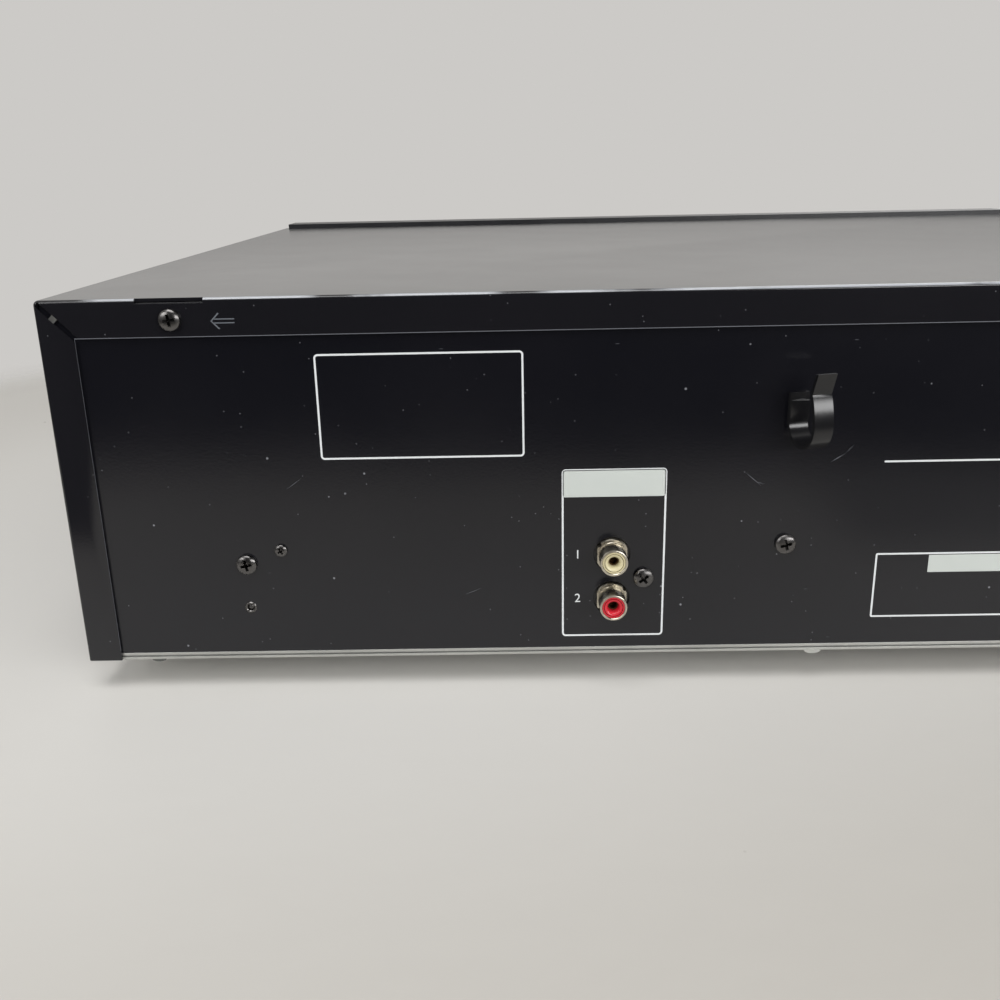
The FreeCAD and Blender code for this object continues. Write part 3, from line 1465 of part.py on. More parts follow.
def make_sled():
    """Pickup sled on two rods, with its lens tower and rack, and the gear and motor that drive it."""
    sled = Piece("sled_form")
    half = d.sled_half
    back, near = lens_y - d.sled_tail, lens_y + d.sled_nose
    sled.pad("XY", d.sled_low, d.sled_high, rect(-half, half, back, near))
    sled.pad("XY", d.sled_high, d.tower_high,
             rect(-1 * d.tower_half, d.tower_half, lens_y - d.tower_back, near))
    sled.cut("XZ", back, near, *[circle(x, rod_z, d.rod_radius + d.fit) for x in (-d.rod_x, d.rod_x)])
    start, end = back - d.sled_rack_tail, lens_y + d.sled_rack_lead
    rack = rack_solid("sled_rack", d.sled_rack_x, half - d.sled_rack_root, start, end, d.sled_module,
                      d.sled_rack_low, d.sled_rack_high, sled_gear_y)
    node("optical_sled", on_player(fuse("optical_sled", [sled, rack])))
    lens = Piece("pickup_lens")
    lens.pad("XY", d.tower_high, d.tower_high + d.lens_height, circle(0, lens_y, d.lens_radius))
    lens_top = mm(d.tower_high + d.lens_height)
    lens.soften(d.lens_bevel, lambda p, e: abs(p.z - lens_top) < 0.01, "PartDesign::Chamfer")
    node("pickup_lens", on_player(lens))
    post = d.sled_post
    gear = gear_solid("sled_drive", d.sled_gear_teeth, d.sled_module, 180, d.sled_rack_low, d.sled_rack_high)
    made = cut_bore("sled_gear", gear, post + d.fit, d.sled_rack_low, d.sled_rack_high)
    node("sled_gear", on_player(made, sled_gear_x, sled_gear_y))
    motor = Piece("sled_motor")
    plate_low = sled_motor_top - d.sled_plate_thick
    wide, long = d.sled_plate_half, d.sled_plate_end
    motor.pad("XY", plate_low - d.sled_motor_height, plate_low,
              circle(sled_gear_x, sled_gear_y, d.sled_motor_radius))
    motor.pad("XY", plate_low, sled_motor_top,
              rect(sled_gear_x - wide, sled_gear_x + wide, sled_gear_y - long, sled_gear_y + long))
    motor.pad("XY", sled_motor_top, d.sled_rack_high + d.sled_post_proud,
              circle(sled_gear_x, sled_gear_y, post))
    node("sled_motor", on_player(motor))


def make_lift_slider():
    """Upright plate whose sloping slot carries the lift pin: sliding it sideways tips the player up."""
    slider = Piece("lift_slider")
    low, high = d.slider_low, d.slider_high
    slide = d.lift_slide
    left, right, foot, margin = d.slider_left, d.slider_right, low + d.slider_foot, d.slider_margin
    edge = -slide - d.slider_edge
    slider.pad("XZ", slider_y, slider_y + d.slider_thick, path(
        (-left, low), (right, low), (right, foot), (d.slider_shoulder, low + margin), (margin, high - margin),
        (-slide - margin, high), (edge, high - d.slider_corner), (edge, low + margin), (-left, foot)))
    half = d.lift_pin + d.lift_slot_gap
    top_z = d.pivot_height
    rise = pin_reach * func("sin", tilt)
    low_z = top_z - rise
    length = func("sqrt", slide * slide + rise * rise)
    off_x, off_z = half * rise / length, half * slide / length
    slider.cut("XZ", slider_y, slider_y + d.slider_thick, path(
        (off_x, low_z + off_z, half, False), (off_x - slide, top_z + off_z),
        (-slide - off_z, top_z + off_x, half, False), (-slide - off_x, top_z - off_z, half, False),
        (-off_x, low_z - off_z), (off_z, low_z - off_x, half, False)))
    node("lift_slider", slider)


# ---------------------------------------------------------------- electrics

def make_transformer():
    """Laminated core with two windows, and the wound bobbin on its middle leg."""
    x, y = transformer_x, transformer_y
    half = d.core_width / 2
    leg = d.core_leg
    low, high = floor_top, floor_top + d.core_height
    y0, y1 = y - d.core_depth / 2, y + d.core_depth / 2
    core = Piece("transformer_core")
    core.pad("XZ", y0, y1, rect(x - half, x + half, low, high))
    core.cut("XZ", y0, y1, rect(x - half + leg, x - leg, low + leg, high - leg),
             rect(x + leg, x + half - leg, low + leg, high - leg))
    node("transformer_core", core)
    coil = Piece("transformer_coil")
    gap, over = d.coil_gap, d.coil_overhang
    out, into = half - leg - gap, leg + gap
    coil.pad("XY", low + into, high - into, rect(x - out, x + out, y0 - over, y1 + over))
    coil.cut("XY", low + into, high - into, rect(x - into, x + into, y0 - gap, y1 + gap))
    node("transformer_coil", coil)


def make_main_board():
    """Circuit board on the pan's posts, the parts standing on it and the finned heat sink."""
    board = Piece("main_board")
    board.pad("XY", board_low, board_top, rect(-d.board_half, d.board_half, board_front, board_rear))
    node("main_board", board)
    parts = []
    for name in CANS:
        x, y, radius, height = (getattr(d, f"{name}_{key}") for key in ("x", "y", "radius", "height"))
        can = Piece("capacitor")
        can.pad("XY", board_top, board_top + height, circle(x, board_front + y, radius))
        parts.append(can)
    for name in CHIPS:
        x, y, width, depth = (getattr(d, f"{name}_{key}") for key in ("x", "y", "width", "depth"))
        chip = Piece("chip")
        near = board_front + y - depth / 2
        chip.pad("XY", board_top, board_top + d.chip_height,
                 rect(x - width / 2, x + width / 2, near, near + depth))
        parts.append(chip)
    node("board_parts", group("board_parts", parts))
    sink = Piece("heat_sink")
    left, right, top = d.sink_left, d.sink_right, board_top + d.sink_height
    near, back = panel_in - d.sink_depth, panel_in - d.sink_plate
    sink.pad("XY", board_top, top, rect(left, right, back, panel_in))
    fin = sink.pad("XY", board_top, top, rect(left, left + d.sink_fin, near, back))
    sink.repeat_along([fin], "X_Axis", right - left - d.sink_fin, d.sink_fins)
    sink.cut("XZ", back, panel_in, circle(*sink_screw, screw_hole))
    node("heat_sink", sink)


make_cover()
make_rear_panel()
make_bottom_chassis()
make_feet()
make_screws()
make_jacks()
make_gland()
make_cord_clip()
make_front_panel()
make_controls()
make_tray()
make_carousel()
make_table_drive()
make_loader()
make_mechanism_frame()
make_clamp()
make_player_frame()
make_spindle()
make_sled()
make_lift_slider()
make_transformer()
make_main_board()
doc.recompute()

for item in doc.Objects:
    if "Invalid" in item.State or "Error" in item.State:
        raise RuntimeError(f"{item.Label} failed: {item.State}")
for label, item in NODES.items():
    item.Label = label
    if item.Shape.isNull() or not item.Shape.isValid():
        raise RuntimeError(f"{label} has no valid shape")
for label, item in NODES.items():
    item.Shape.exportStep(f"parts/{label}.step")
print(len(NODES), "nodes written")
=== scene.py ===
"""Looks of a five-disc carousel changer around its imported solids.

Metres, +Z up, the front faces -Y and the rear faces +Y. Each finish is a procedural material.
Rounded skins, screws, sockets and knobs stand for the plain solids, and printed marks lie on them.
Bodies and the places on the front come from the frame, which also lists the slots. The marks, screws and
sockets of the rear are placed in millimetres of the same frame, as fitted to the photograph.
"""
import json
import math

import bmesh
import bpy
from mathutils import Matrix, Vector


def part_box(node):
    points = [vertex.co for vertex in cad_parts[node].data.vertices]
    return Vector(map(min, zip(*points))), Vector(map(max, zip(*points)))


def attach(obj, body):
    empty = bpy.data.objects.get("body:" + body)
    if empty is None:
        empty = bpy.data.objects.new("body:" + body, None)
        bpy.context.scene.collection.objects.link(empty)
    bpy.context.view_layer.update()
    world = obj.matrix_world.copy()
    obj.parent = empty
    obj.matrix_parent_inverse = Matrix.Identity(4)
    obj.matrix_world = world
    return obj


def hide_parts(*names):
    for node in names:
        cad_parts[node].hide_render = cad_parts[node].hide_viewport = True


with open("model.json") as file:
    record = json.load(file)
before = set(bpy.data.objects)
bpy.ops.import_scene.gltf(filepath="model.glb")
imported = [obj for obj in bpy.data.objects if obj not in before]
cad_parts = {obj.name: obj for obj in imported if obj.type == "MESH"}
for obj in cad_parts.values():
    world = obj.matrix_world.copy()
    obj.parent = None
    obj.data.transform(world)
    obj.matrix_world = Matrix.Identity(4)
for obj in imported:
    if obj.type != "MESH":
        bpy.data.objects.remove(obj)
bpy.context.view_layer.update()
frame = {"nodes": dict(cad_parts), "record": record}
MM = 0.001


# ---------------------------------------------------------------- bodies, slots and places from the frame

BODY_OF = {node: body for body, nodes in frame["record"]["behaviour"]["bodies"].items() for node in nodes}
SLOT_OF = {part["node"]: part["material_slot"] for part in frame["record"]["subparts"]}
cover_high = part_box("top_cover")[1]
panel_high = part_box("rear_panel")[1]
rear = cover_high.y
panel_out = panel_high.y
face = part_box("front_panel")[0].y


# ---------------------------------------------------------------- materials

def tint(red, green, blue):
    """A screen colour, 0 to 255 a channel, as the shader's linear values."""
    def linear(value):
        share = value / 255
        return share / 12.92 if share <= 0.04045 else ((share + 0.055) / 1.055) ** 2.4
    return (linear(red), linear(green), linear(blue), 1.0)


PLAIN, STRAIGHT = (1, 1, 1), (0, 0, 0)


class Finish:
    """A Principled material, with short calls for the nodes that vary it over the surface.

    Scales count features per metre of the piece's own coordinates, and turns are in degrees.
    """

    def __init__(self, name, colour, rough, metal=0.0, **sockets):
        self.material = bpy.data.materials.new(name)
        self.material.use_nodes = True
        self.tree = self.material.node_tree
        self.shader = self.tree.nodes["Principled BSDF"]
        self.colour = colour
        self.shader.inputs["Base Color"].default_value = colour
        self.shader.inputs["Roughness"].default_value = rough
        self.shader.inputs["Metallic"].default_value = metal
        for socket, value in sockets.items():
            self.shader.inputs[socket.replace("_", " ")].default_value = value
        self.place = self.node("ShaderNodeTexCoord").outputs["Object"]
        self.normal = None

    def node(self, kind, **settings):
        """A new node of the material, with its settings."""
        made = self.tree.nodes.new(kind)
        for key, value in settings.items():
            setattr(made, key, value)
        return made

    def link(self, source, target):
        self.tree.links.new(source, target)

    def mapped(self, stretch=PLAIN, turn=STRAIGHT):
        """The piece's own coordinates, stretched and turned."""
        if stretch == PLAIN and turn == STRAIGHT:
            return self.place
        made = self.node("ShaderNodeMapping")
        made.inputs["Scale"].default_value = stretch
        made.inputs["Rotation"].default_value = [math.radians(angle) for angle in turn]
        self.link(self.place, made.inputs["Vector"])
        return made.outputs["Vector"]

    def noise(self, scale, detail=3.0, stretch=PLAIN, turn=STRAIGHT):
        """Cloudy noise, from 0 to 1."""
        made = self.node("ShaderNodeTexNoise")
        made.inputs["Scale"].default_value = scale
        made.inputs["Detail"].default_value = detail
        self.link(self.mapped(stretch, turn), made.inputs["Vector"])
        return made.outputs["Fac"]

    def cells(self, scale, stretch=PLAIN, turn=STRAIGHT, output="Distance"):
        """Scattered cells: the distance from the nearest middle, or each cell's own colour."""
        made = self.node("ShaderNodeTexVoronoi")
        made.inputs["Scale"].default_value = scale
        self.link(self.mapped(stretch, turn), made.inputs["Vector"])
        return made.outputs[output]

    def axis(self, letter):
        """One coordinate of the place on the piece, in metres."""
        parts = self.node("ShaderNodeSeparateXYZ")
        self.link(self.place, parts.inputs[0])
        return parts.outputs[letter]

    def span(self, source, low, high, to_low=0.0, to_high=1.0):
        """A smooth ramp of the source, from low to high."""
        made = self.node("ShaderNodeMapRange", interpolation_type="SMOOTHSTEP")
        for key, value in zip(("From Min", "From Max", "To Min", "To Max"), (low, high, to_low, to_high)):
            made.inputs[key].default_value = value
        self.link(source, made.inputs["Value"])
        return made.outputs["Result"]

    def sums(self, operation, first, second):
        """A sum of two values or sockets, with products kept between 0 and 1."""
        made = self.node("ShaderNodeMath", operation=operation, use_clamp=operation == "MULTIPLY")
        for socket, value in zip(made.inputs, (first, second)):
            if isinstance(value, (int, float)):
                socket.default_value = value
            else:
                self.link(value, socket)
        return made.outputs[0]

    def flecks(self, scale, size, keep, stretch=PLAIN, turn=STRAIGHT):
        """Small marks: cells whose middle is close, kept in a share of the cells only."""
        near = self.span(self.cells(scale, stretch, turn), size, size * 0.6)
        parts = self.node("ShaderNodeSeparateColor")
        self.link(self.cells(scale, stretch, turn, "Color"), parts.inputs[0])
        return self.sums("MULTIPLY", near, self.span(parts.outputs[0], keep, keep * 0.9))

    def tone(self, factor, colour, amount=1.0):
        """Blends the base colour towards another one."""
        made = self.node("ShaderNodeMix", data_type="RGBA")
        self.link(self.sums("MULTIPLY", factor, amount), made.inputs["Factor"])
        socket = self.shader.inputs["Base Color"]
        if socket.is_linked:
            self.link(socket.links[0].from_socket, made.inputs["A"])
        else:
            made.inputs["A"].default_value = self.colour
        made.inputs["B"].default_value = colour
        self.link(made.outputs["Result"], socket)

    def over(self, below, above, share):
        """One shader laid over another by a share."""
        made = self.node("ShaderNodeMixShader")
        for source, socket in zip((share, below, above), made.inputs):
            self.link(source, socket)
        return made.outputs[0]

    def gloss(self, factor, low, high):
        """Roughness that runs from low to high with the factor."""
        self.link(self.span(factor, 0, 1, low, high), self.shader.inputs["Roughness"])

    def relief(self, factor, height):
        """Fine relief of the surface, with its height in metres."""
        made = self.node("ShaderNodeBump")
        made.inputs["Distance"].default_value = height
        made.inputs["Strength"].default_value = 1.0
        self.link(factor, made.inputs["Height"])
        if self.normal:
            self.link(self.normal, made.inputs["Normal"])
        self.normal = made.outputs["Normal"]
        self.link(self.normal, self.shader.inputs["Normal"])


RUBBED, DUST, FINE_DUST = tint(27, 26, 30), tint(120, 122, 126), tint(105, 106, 110)
# the second colour here is the pale painted highlight along the cover's upper rear bend
SCRATCHED, BEND_HIGHLIGHT = tint(95, 97, 102), tint(178, 181, 186)


def sheet_paint(name, colour, rough, bend=None):
    """Black baked enamel on steel: fine orange peel, dust, light rubs and a few scratches.

    Where a corner is given, the bend along its upper rear edge is painted pale, broken by noise: a painted
    highlight of the bend that also stands for paint worn to metal.
    """
    made = Finish(name, colour, rough, Specular_IOR_Level=0.5)
    made.relief(made.noise(1500, 2), 0.012 * MM)
    made.tone(made.noise(18, 4), RUBBED, 0.5)
    made.tone(made.flecks(170, 0.075, 0.22), DUST, 0.8)
    made.tone(made.flecks(420, 0.10, 0.16), FINE_DUST, 0.55)
    for turn, keep in ((34, 0.05), (-52, 0.05), (80, 0.035)):
        made.tone(made.flecks(60, 0.045, keep, (1, 1, 9), (0, turn, 0)), SCRATCHED, 0.7)
    if bend:
        # painted highlight: the bend along the upper rear edge is lighter, broken by noise as worn paint is
        corner = made.sums("MULTIPLY", made.span(made.axis("Z"), bend.z - 0.75 * MM, bend.z - 0.35 * MM),
                           made.span(made.axis("Y"), bend.y - 1.0 * MM, bend.y - 0.6 * MM))
        rubbed = made.sums("MULTIPLY", corner, made.span(made.noise(22, 4), 0.40, 0.52))
        made.tone(rubbed, BEND_HIGHLIGHT, 0.85)
    made.gloss(made.noise(35, 4), rough * 0.85, rough * 1.2)
    return made.material


def moulding(name, colour, rough, grain=700, height=0.02):
    """Moulded plastic: spark-eroded grain, slight tone changes and rubbed spots."""
    made = Finish(name, colour, rough)
    made.relief(made.noise(grain, 2), height * MM)
    lighter = tuple(min(1.0, channel * 1.5 + 0.01) for channel in colour[:3]) + (1.0,)
    made.tone(made.noise(25, 4), lighter, 0.3)
    made.gloss(made.noise(60, 3), rough * 0.85, rough * 1.2)
    return made.material


def plated(name, colour, rough, brushed=PLAIN):
    """Plated metal: faint rolling lines, cloudy plating and small dull spots."""
    made = Finish(name, colour, rough, 1.0)
    made.relief(made.noise(900, 3, brushed), 0.004 * MM)
    darker = tuple(channel * 0.6 for channel in colour[:3]) + (1.0,)
    made.tone(made.noise(90, 4), darker, 0.4)
    made.gloss(made.noise(220, 4), rough * 0.7, rough * 1.5)
    return made.material


def rubber(name, colour):
    """Soft rubber: fine pitted skin with a paler bloom."""
    made = Finish(name, colour, 0.85)
    made.relief(made.noise(1800, 3), 0.03 * MM)
    made.tone(made.noise(300, 3), tint(70, 70, 72), 0.35)
    return made.material


def clear(name, colour, rough, share):
    """Smoked or coated clear moulding, with faint dust."""
    made = Finish(name, colour, rough, Transmission_Weight=share, IOR=1.49)
    made.tone(made.flecks(300, 0.06, 0.12), tint(110, 110, 112), 0.4)
    made.gloss(made.noise(80, 3), rough, rough * 2)
    return made.material


def board_finish():
    """Phenolic board: tan sheet, darker copper runs under the resist and small solder lands."""
    made = Finish("phenolic board", tint(150, 118, 62), 0.5)
    runs = made.node("ShaderNodeTexBrick", offset=0.5)
    made.link(made.mapped((260, 190, 260)), runs.inputs["Vector"])
    runs.inputs["Mortar Size"].default_value = 0.11
    runs.inputs["Scale"].default_value = 1.0
    made.tone(runs.outputs["Fac"], tint(92, 96, 48), 0.8)
    made.tone(made.flecks(240, 0.22, 0.5), tint(196, 192, 180), 0.9)
    made.relief(runs.outputs["Fac"], 0.03 * MM)
    return made.material


def parts_finish(top):
    """Sleeved capacitors and chips: dark sleeves, with pale can tops on the tall ones."""
    made = Finish("board parts", tint(26, 26, 30), 0.4)
    made.tone(made.span(made.axis("Z"), top - 0.2 * MM, top), tint(170, 172, 175))
    made.tone(made.flecks(180, 0.2, 0.2), tint(150, 150, 152), 0.4)
    made.relief(made.noise(600, 2), 0.02 * MM)
    return made.material


def stripes(name, colour, other, step, axis, rough, metal=0.0):
    """Stacked sheets or wound tape: fine lines across one axis."""
    made = Finish(name, colour, rough, metal)
    wave = made.node("ShaderNodeTexWave", bands_direction=axis, wave_profile="SAW")
    made.link(made.place, wave.inputs["Vector"])
    # at scale 1 the bands repeat every 2 pi / 20 metres, so here each takes two steps
    wave.inputs["Scale"].default_value = 1 / step / 20 * math.pi
    made.tone(wave.outputs["Fac"], other, 0.5)
    made.relief(wave.outputs["Fac"], 0.05 * MM)
    return made.material


def steel_sheet():
    """Zinc-plated sheet: spangle, rolling lines and white bloom."""
    made = Finish("zinc sheet", tint(212, 213, 209), 0.38, 1.0)
    made.tone(made.cells(160, output="Color"), tint(184, 186, 185), 0.35)
    made.tone(made.noise(30, 5), tint(150, 149, 145), 0.5)
    made.relief(made.noise(500, 3, (1, 6, 6)), 0.02 * MM)
    made.gloss(made.noise(120, 4), 0.28, 0.55)
    return made.material


PAINT = sheet_paint("black enamel", tint(11, 12, 17), 0.17)
COVER_PAINT = sheet_paint("cover enamel", tint(20, 20, 23), 0.14, cover_high)
NICKEL = plated("nickel plate", tint(205, 198, 182), 0.26)
BLACK_NICKEL = plated("black nickel", tint(104, 102, 101), 0.26)
FRONT = moulding("front moulding", tint(24, 24, 27), 0.38)
KEY = moulding("key caps", tint(34, 34, 38), 0.34)
DECK = moulding("deck moulding", tint(38, 38, 42), 0.5, 500, 0.03)
TRAY = moulding("tray moulding", tint(48, 48, 53), 0.45, 600, 0.03)
ACETAL = moulding("natural acetal", tint(226, 223, 212), 0.4, 400, 0.01)
BLACK_PLASTIC = moulding("glossy nylon", tint(15, 15, 17), 0.2, 250, 0.01)
ZINC = plated("zinc plate", tint(188, 188, 184), 0.3, (1, 1, 12))
STEEL = steel_sheet()
RUBBER = rubber("soft rubber", tint(28, 28, 29))
PRINT = moulding("white print", tint(200, 203, 204), 0.55, 1500, 0.008)
HEADER = moulding("pale print", tint(178, 183, 179), 0.55, 1500, 0.008)
CREAM = moulding("cream insert", tint(190, 181, 146), 0.28, 300, 0.01)
RED = moulding("red insert", tint(182, 34, 46), 0.28, 300, 0.01)
CONTACT = plated("tarnished contact", tint(104, 80, 58), 0.55)
GHOST = moulding("unlit segments", tint(140, 168, 158), 0.5, 900, 0.008)
BOARD = board_finish()

NODE_FINISH = {
    "bottom_chassis": STEEL, "rear_panel": PAINT, "top_cover": COVER_PAINT, "front_panel": FRONT,
    "tray_door": FRONT,
    "display_window": clear("smoked window", tint(146, 146, 150), 0.05, 0.9),
    "display_tube": clear("display tube", tint(28, 44, 40), 0.08, 0.2),
    "key_board": BOARD, "main_board": BOARD, "board_parts": parts_finish(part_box("board_parts")[1].z),
    "heat_sink": plated("mill aluminium", tint(196, 197, 198), 0.34, (1, 1, 8)),
    "transformer_core": stripes("laminations", tint(82, 80, 80), tint(46, 45, 46), 0.5 * MM, "Y", 0.45, 0.8),
    "transformer_coil": stripes("coil tape", tint(196, 160, 60), tint(150, 116, 36), 1.2 * MM, "Z", 0.35),
    "cord_gland": BLACK_PLASTIC, "cord_clip": BLACK_PLASTIC, "jack_block": BLACK_PLASTIC,
    "headphone_jack": BLACK_PLASTIC, "feet": moulding("foot moulding", tint(26, 26, 28), 0.5),
    "foot_pads": RUBBER, "loading_belt": RUBBER, "mechanism_frame": DECK, "base_unit_frame": DECK,
    "clamp_bridge": ZINC, "loading_motor": ZINC, "table_motor": ZINC, "spindle_motor": ZINC,
    "sled_motor": ZINC,
    "drawer_tray": TRAY, "carousel_cap": TRAY,
    "carousel": moulding("carousel moulding", tint(43, 43, 47), 0.42, 500, 0.03),
    "table_gear": ACETAL, "loading_gear": ACETAL, "sled_gear": ACETAL, "lift_slider": ACETAL,
    "motor_pulley": plated("turned brass", tint(204, 170, 98), 0.3),
    "guide_rods": plated("ground steel", tint(205, 205, 208), 0.12),
    "spindle_turntable": moulding("turntable moulding", tint(30, 30, 32), 0.35),
    "optical_sled": plated("die casting", tint(150, 151, 154), 0.45),
    "clamp_puck": moulding("puck", tint(205, 205, 200), 0.4),
    "pickup_lens": clear("coated lens", tint(150, 160, 220), 0.02, 0.9),
}


# ---------------------------------------------------------------- pieces

def show(name, mesh, material, rides, replaced=(), crease=32):
    """Puts a mesh in the scene as a piece that rides on a body."""
    mesh.polygons.foreach_set("use_smooth", [True] * len(mesh.polygons))
    mesh.set_sharp_from_angle(angle=math.radians(crease))
    mesh.materials.clear()
    mesh.materials.append(material)
    piece = bpy.data.objects.new(name, mesh)
    bpy.context.scene.collection.objects.link(piece)
    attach(piece, rides)
    for node in replaced:
        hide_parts(node)
    return piece


def finished(form, name):
    """A mesh of a bmesh form, with its faces turned outwards."""
    bmesh.ops.recalc_face_normals(form, faces=form.faces)
    mesh = bpy.data.meshes.new(name)
    form.to_mesh(mesh)
    form.free()
    return mesh


def put(name, form, material, rides, replaced=(), crease=32):
    """Puts a bmesh form in the scene as a piece of that name."""
    return show(name, finished(form, name), material, rides, replaced, crease)


# how close vertices are joined, and how nearly flat faces are merged, before edges are rounded
WELD = 0.002 * MM
FLAT = math.radians(0.6)


def soften(piece, width, segments=2, angle=35):
    """Rounds the sharp edges and keeps flat faces flat."""
    bevel = piece.modifiers.new("soft edges", "BEVEL")
    bevel.width = width
    bevel.segments = segments
    bevel.limit_method = "ANGLE"
    bevel.angle_limit = math.radians(angle)
    bevel.harden_normals = True
    return piece


def skin(node, width, segments=2):
    """A copy of a node with its sharp edges rounded, shown in the node's place."""
    form = bmesh.new()
    form.from_mesh(frame["nodes"][node].data)
    bmesh.ops.remove_doubles(form, verts=form.verts, dist=WELD)
    bmesh.ops.dissolve_limit(form, angle_limit=FLAT, verts=form.verts, edges=form.edges)
    name = f"{node}_skin"
    piece = put(name, form, NODE_FINISH[node], BODY_OF[node], [node])
    return soften(piece, width, segments)


def turned(form, profile, matrix, segments=64, radius_at=None):
    """Revolves (radius, height) points about local Z and moves the result with the matrix."""
    rings = []
    for radius, height in profile:
        if radius < 1e-7:
            rings.append([form.verts.new(matrix @ Vector((0, 0, height)))])
            continue
        ring = []
        for index in range(segments):
            angle = 2 * math.pi * index / segments
            size = radius_at(radius, angle) if radius_at else radius
            point = Vector((size * math.cos(angle), size * math.sin(angle), height))
            ring.append(form.verts.new(matrix @ point))
        rings.append(ring)
    for low, high in zip(rings, rings[1:]):
        for index in range(segments):
            after = (index + 1) % segments
            corners = [low[index % len(low)], low[after % len(low)],
                       high[after % len(high)], high[index % len(high)]]
            unique = list(dict.fromkeys(corners))
            if len(unique) > 2:
                form.faces.new(unique)
    return form


def facing(spot, direction):
    """A matrix that takes local +Z to the direction, at a spot."""
    turn = Vector(direction).to_track_quat("Z", "Y").to_matrix().to_4x4()
    return Matrix.Translation(spot) @ turn


def slab(form, outline, matrix, thick):
    """Adds a flat shape of that thickness: local XY outline, from local Z 0 up."""
    low = [form.verts.new(matrix @ Vector((x, y, 0))) for x, y in outline]
    high = [form.verts.new(matrix @ Vector((x, y, thick))) for x, y in outline]
    form.faces.new(low[::-1])
    form.faces.new(high)
    for index in range(len(outline)):
        after = (index + 1) % len(outline)
        form.faces.new((low[index], low[after], high[after], high[index]))
    return form


def rounded(x0, x1, y0, y1, radius, steps=6):
    """Corner points of a rectangle with round corners."""
    points = []
    for middle_x, middle_y, start in ((x1 - radius, y1 - radius, 0), (x0 + radius, y1 - radius, 90),
                                      (x0 + radius, y0 + radius, 180), (x1 - radius, y0 + radius, 270)):
        for step in range(steps + 1):
            angle = math.radians(start + 90 * step / steps)
            points.append((middle_x + radius * math.cos(angle), middle_y + radius * math.sin(angle)))
    return points


def ruled_frame(form, outer, inner, matrix, thick):
    """Adds a printed line that closes on itself, between two outlines with as many points."""
    rings = [[form.verts.new(matrix @ Vector((x, y, z))) for x, y in outline]
             for outline, z in ((outer, 0), (outer, thick), (inner, thick), (inner, 0))]
    count = len(outer)
    for first, second in zip(rings, rings[1:] + rings[:1]):
        for index in range(count):
            after = (index + 1) % count
            form.faces.new((first[index], first[after], second[after], second[index]))
    return form


# ---------------------------------------------------------------- rounded skins

# how wide each node's edges are rounded, in millimetres
SKINS = {
    "top_cover": 0.16, "rear_panel": 0.12, "bottom_chassis": 0.12, "cord_clip": 0.16, "cord_gland": 0.3,
    "tray_door": 0.2, "feet": 0.6, "foot_pads": 0.25, "heat_sink": 0.15, "clamp_bridge": 0.15,
    "clamp_puck": 0.3, "carousel": 0.25, "carousel_cap": 0.3, "drawer_tray": 0.25, "mechanism_frame": 0.25,
    "spindle_turntable": 0.2, "optical_sled": 0.2, "base_unit_frame": 0.2, "headphone_jack": 0.15,
    "transformer_core": 0.3, "transformer_coil": 0.8, "jack_block": 0.2,
}
for node_name, width in SKINS.items():
    skin(node_name, width * MM)


# ---------------------------------------------------------------- cross-recess screws

HEAD, HEAD_HEIGHT = 3.1 * MM, 2.0 * MM
SHANK, SHANK_LENGTH = 1.45 * MM, 6 * MM
HEAD_EDGE = 0.09 * MM
DOME_RINGS = (0.97, 0.9, 0.8, 0.65, 0.5, 0.35, 0.2)


def cross_outline(length, width):
    """Outline of a cross with four arms of that length and half width."""
    quarter = [(length, -width), (length, width), (width, width)]
    return [(x * cos - y * sin, x * sin + y * cos)
            for cos, sin in ((1, 0), (0, 1), (-1, 0), (0, -1)) for x, y in quarter]


def recessed_head(head, height, shank, length):
    """Pan head on a shank, with a tapered cross cut into it."""
    form = bmesh.new()
    dome = [(head * share, height - (height * 0.55) * (1 - math.sqrt(max(0.0, 1 - share ** 2.2))))
            for share in DOME_RINGS]
    profile = [(0, -length), (shank, -length), (shank, 0),
               (head * 0.96, 0), (head, height * 0.14), (head, height * 0.36)]
    turned(form, profile + dome + [(0, height)], Matrix(), 48)
    blank = bpy.data.objects.new("screw_blank", finished(form, "screw_blank"))
    tool = bmesh.new()
    # height, then the arms' reach and half width as shares of the head, from the top down to the floor
    levels = ((height + 0.1 * MM, 0.60, 0.15), (height * 0.55, 0.46, 0.12), (-height * 0.05, 0.22, 0.07))
    rings = [[tool.verts.new((x, y, z)) for x, y in cross_outline(head * wide, head * narrow)]
             for z, wide, narrow in levels]
    for low, high in zip(rings, rings[1:]):
        for index in range(len(low)):
            after = (index + 1) % len(low)
            tool.faces.new((low[index], low[after], high[after], high[index]))
    tool.faces.new(rings[0])
    tool.faces.new(rings[-1][::-1])
    cutter = bpy.data.objects.new("screw_cutter", finished(tool, "screw_cutter"))
    for item in (blank, cutter):
        bpy.context.scene.collection.objects.link(item)
    cut = blank.modifiers.new("recess", "BOOLEAN")
    cut.operation = "DIFFERENCE"
    cut.solver = "EXACT"
    cut.object = cutter
    evaluated = blank.evaluated_get(bpy.context.evaluated_depsgraph_get())
    result = bpy.data.meshes.new_from_object(evaluated)
    for item in (blank, cutter):
        bpy.data.objects.remove(item)
    return result


def screws(name, replaced, places):
    """One piece of several screws: (spot, direction, turn in degrees, scale)."""
    form = bmesh.new()
    head = recessed_head(HEAD, HEAD_HEIGHT, SHANK, SHANK_LENGTH)
    for spot, direction, turn, scale in places:
        placed = head.copy()
        turning = Matrix.Rotation(math.radians(turn), 4, "Z")
        placed.transform(facing(spot, direction) @ turning @ Matrix.Scale(scale, 4))
        form.from_mesh(placed)
        bpy.data.meshes.remove(placed)
    piece = put(name, form, BLACK_NICKEL, "chassis", [replaced], 28)
    return soften(piece, HEAD_EDGE, angle=40)


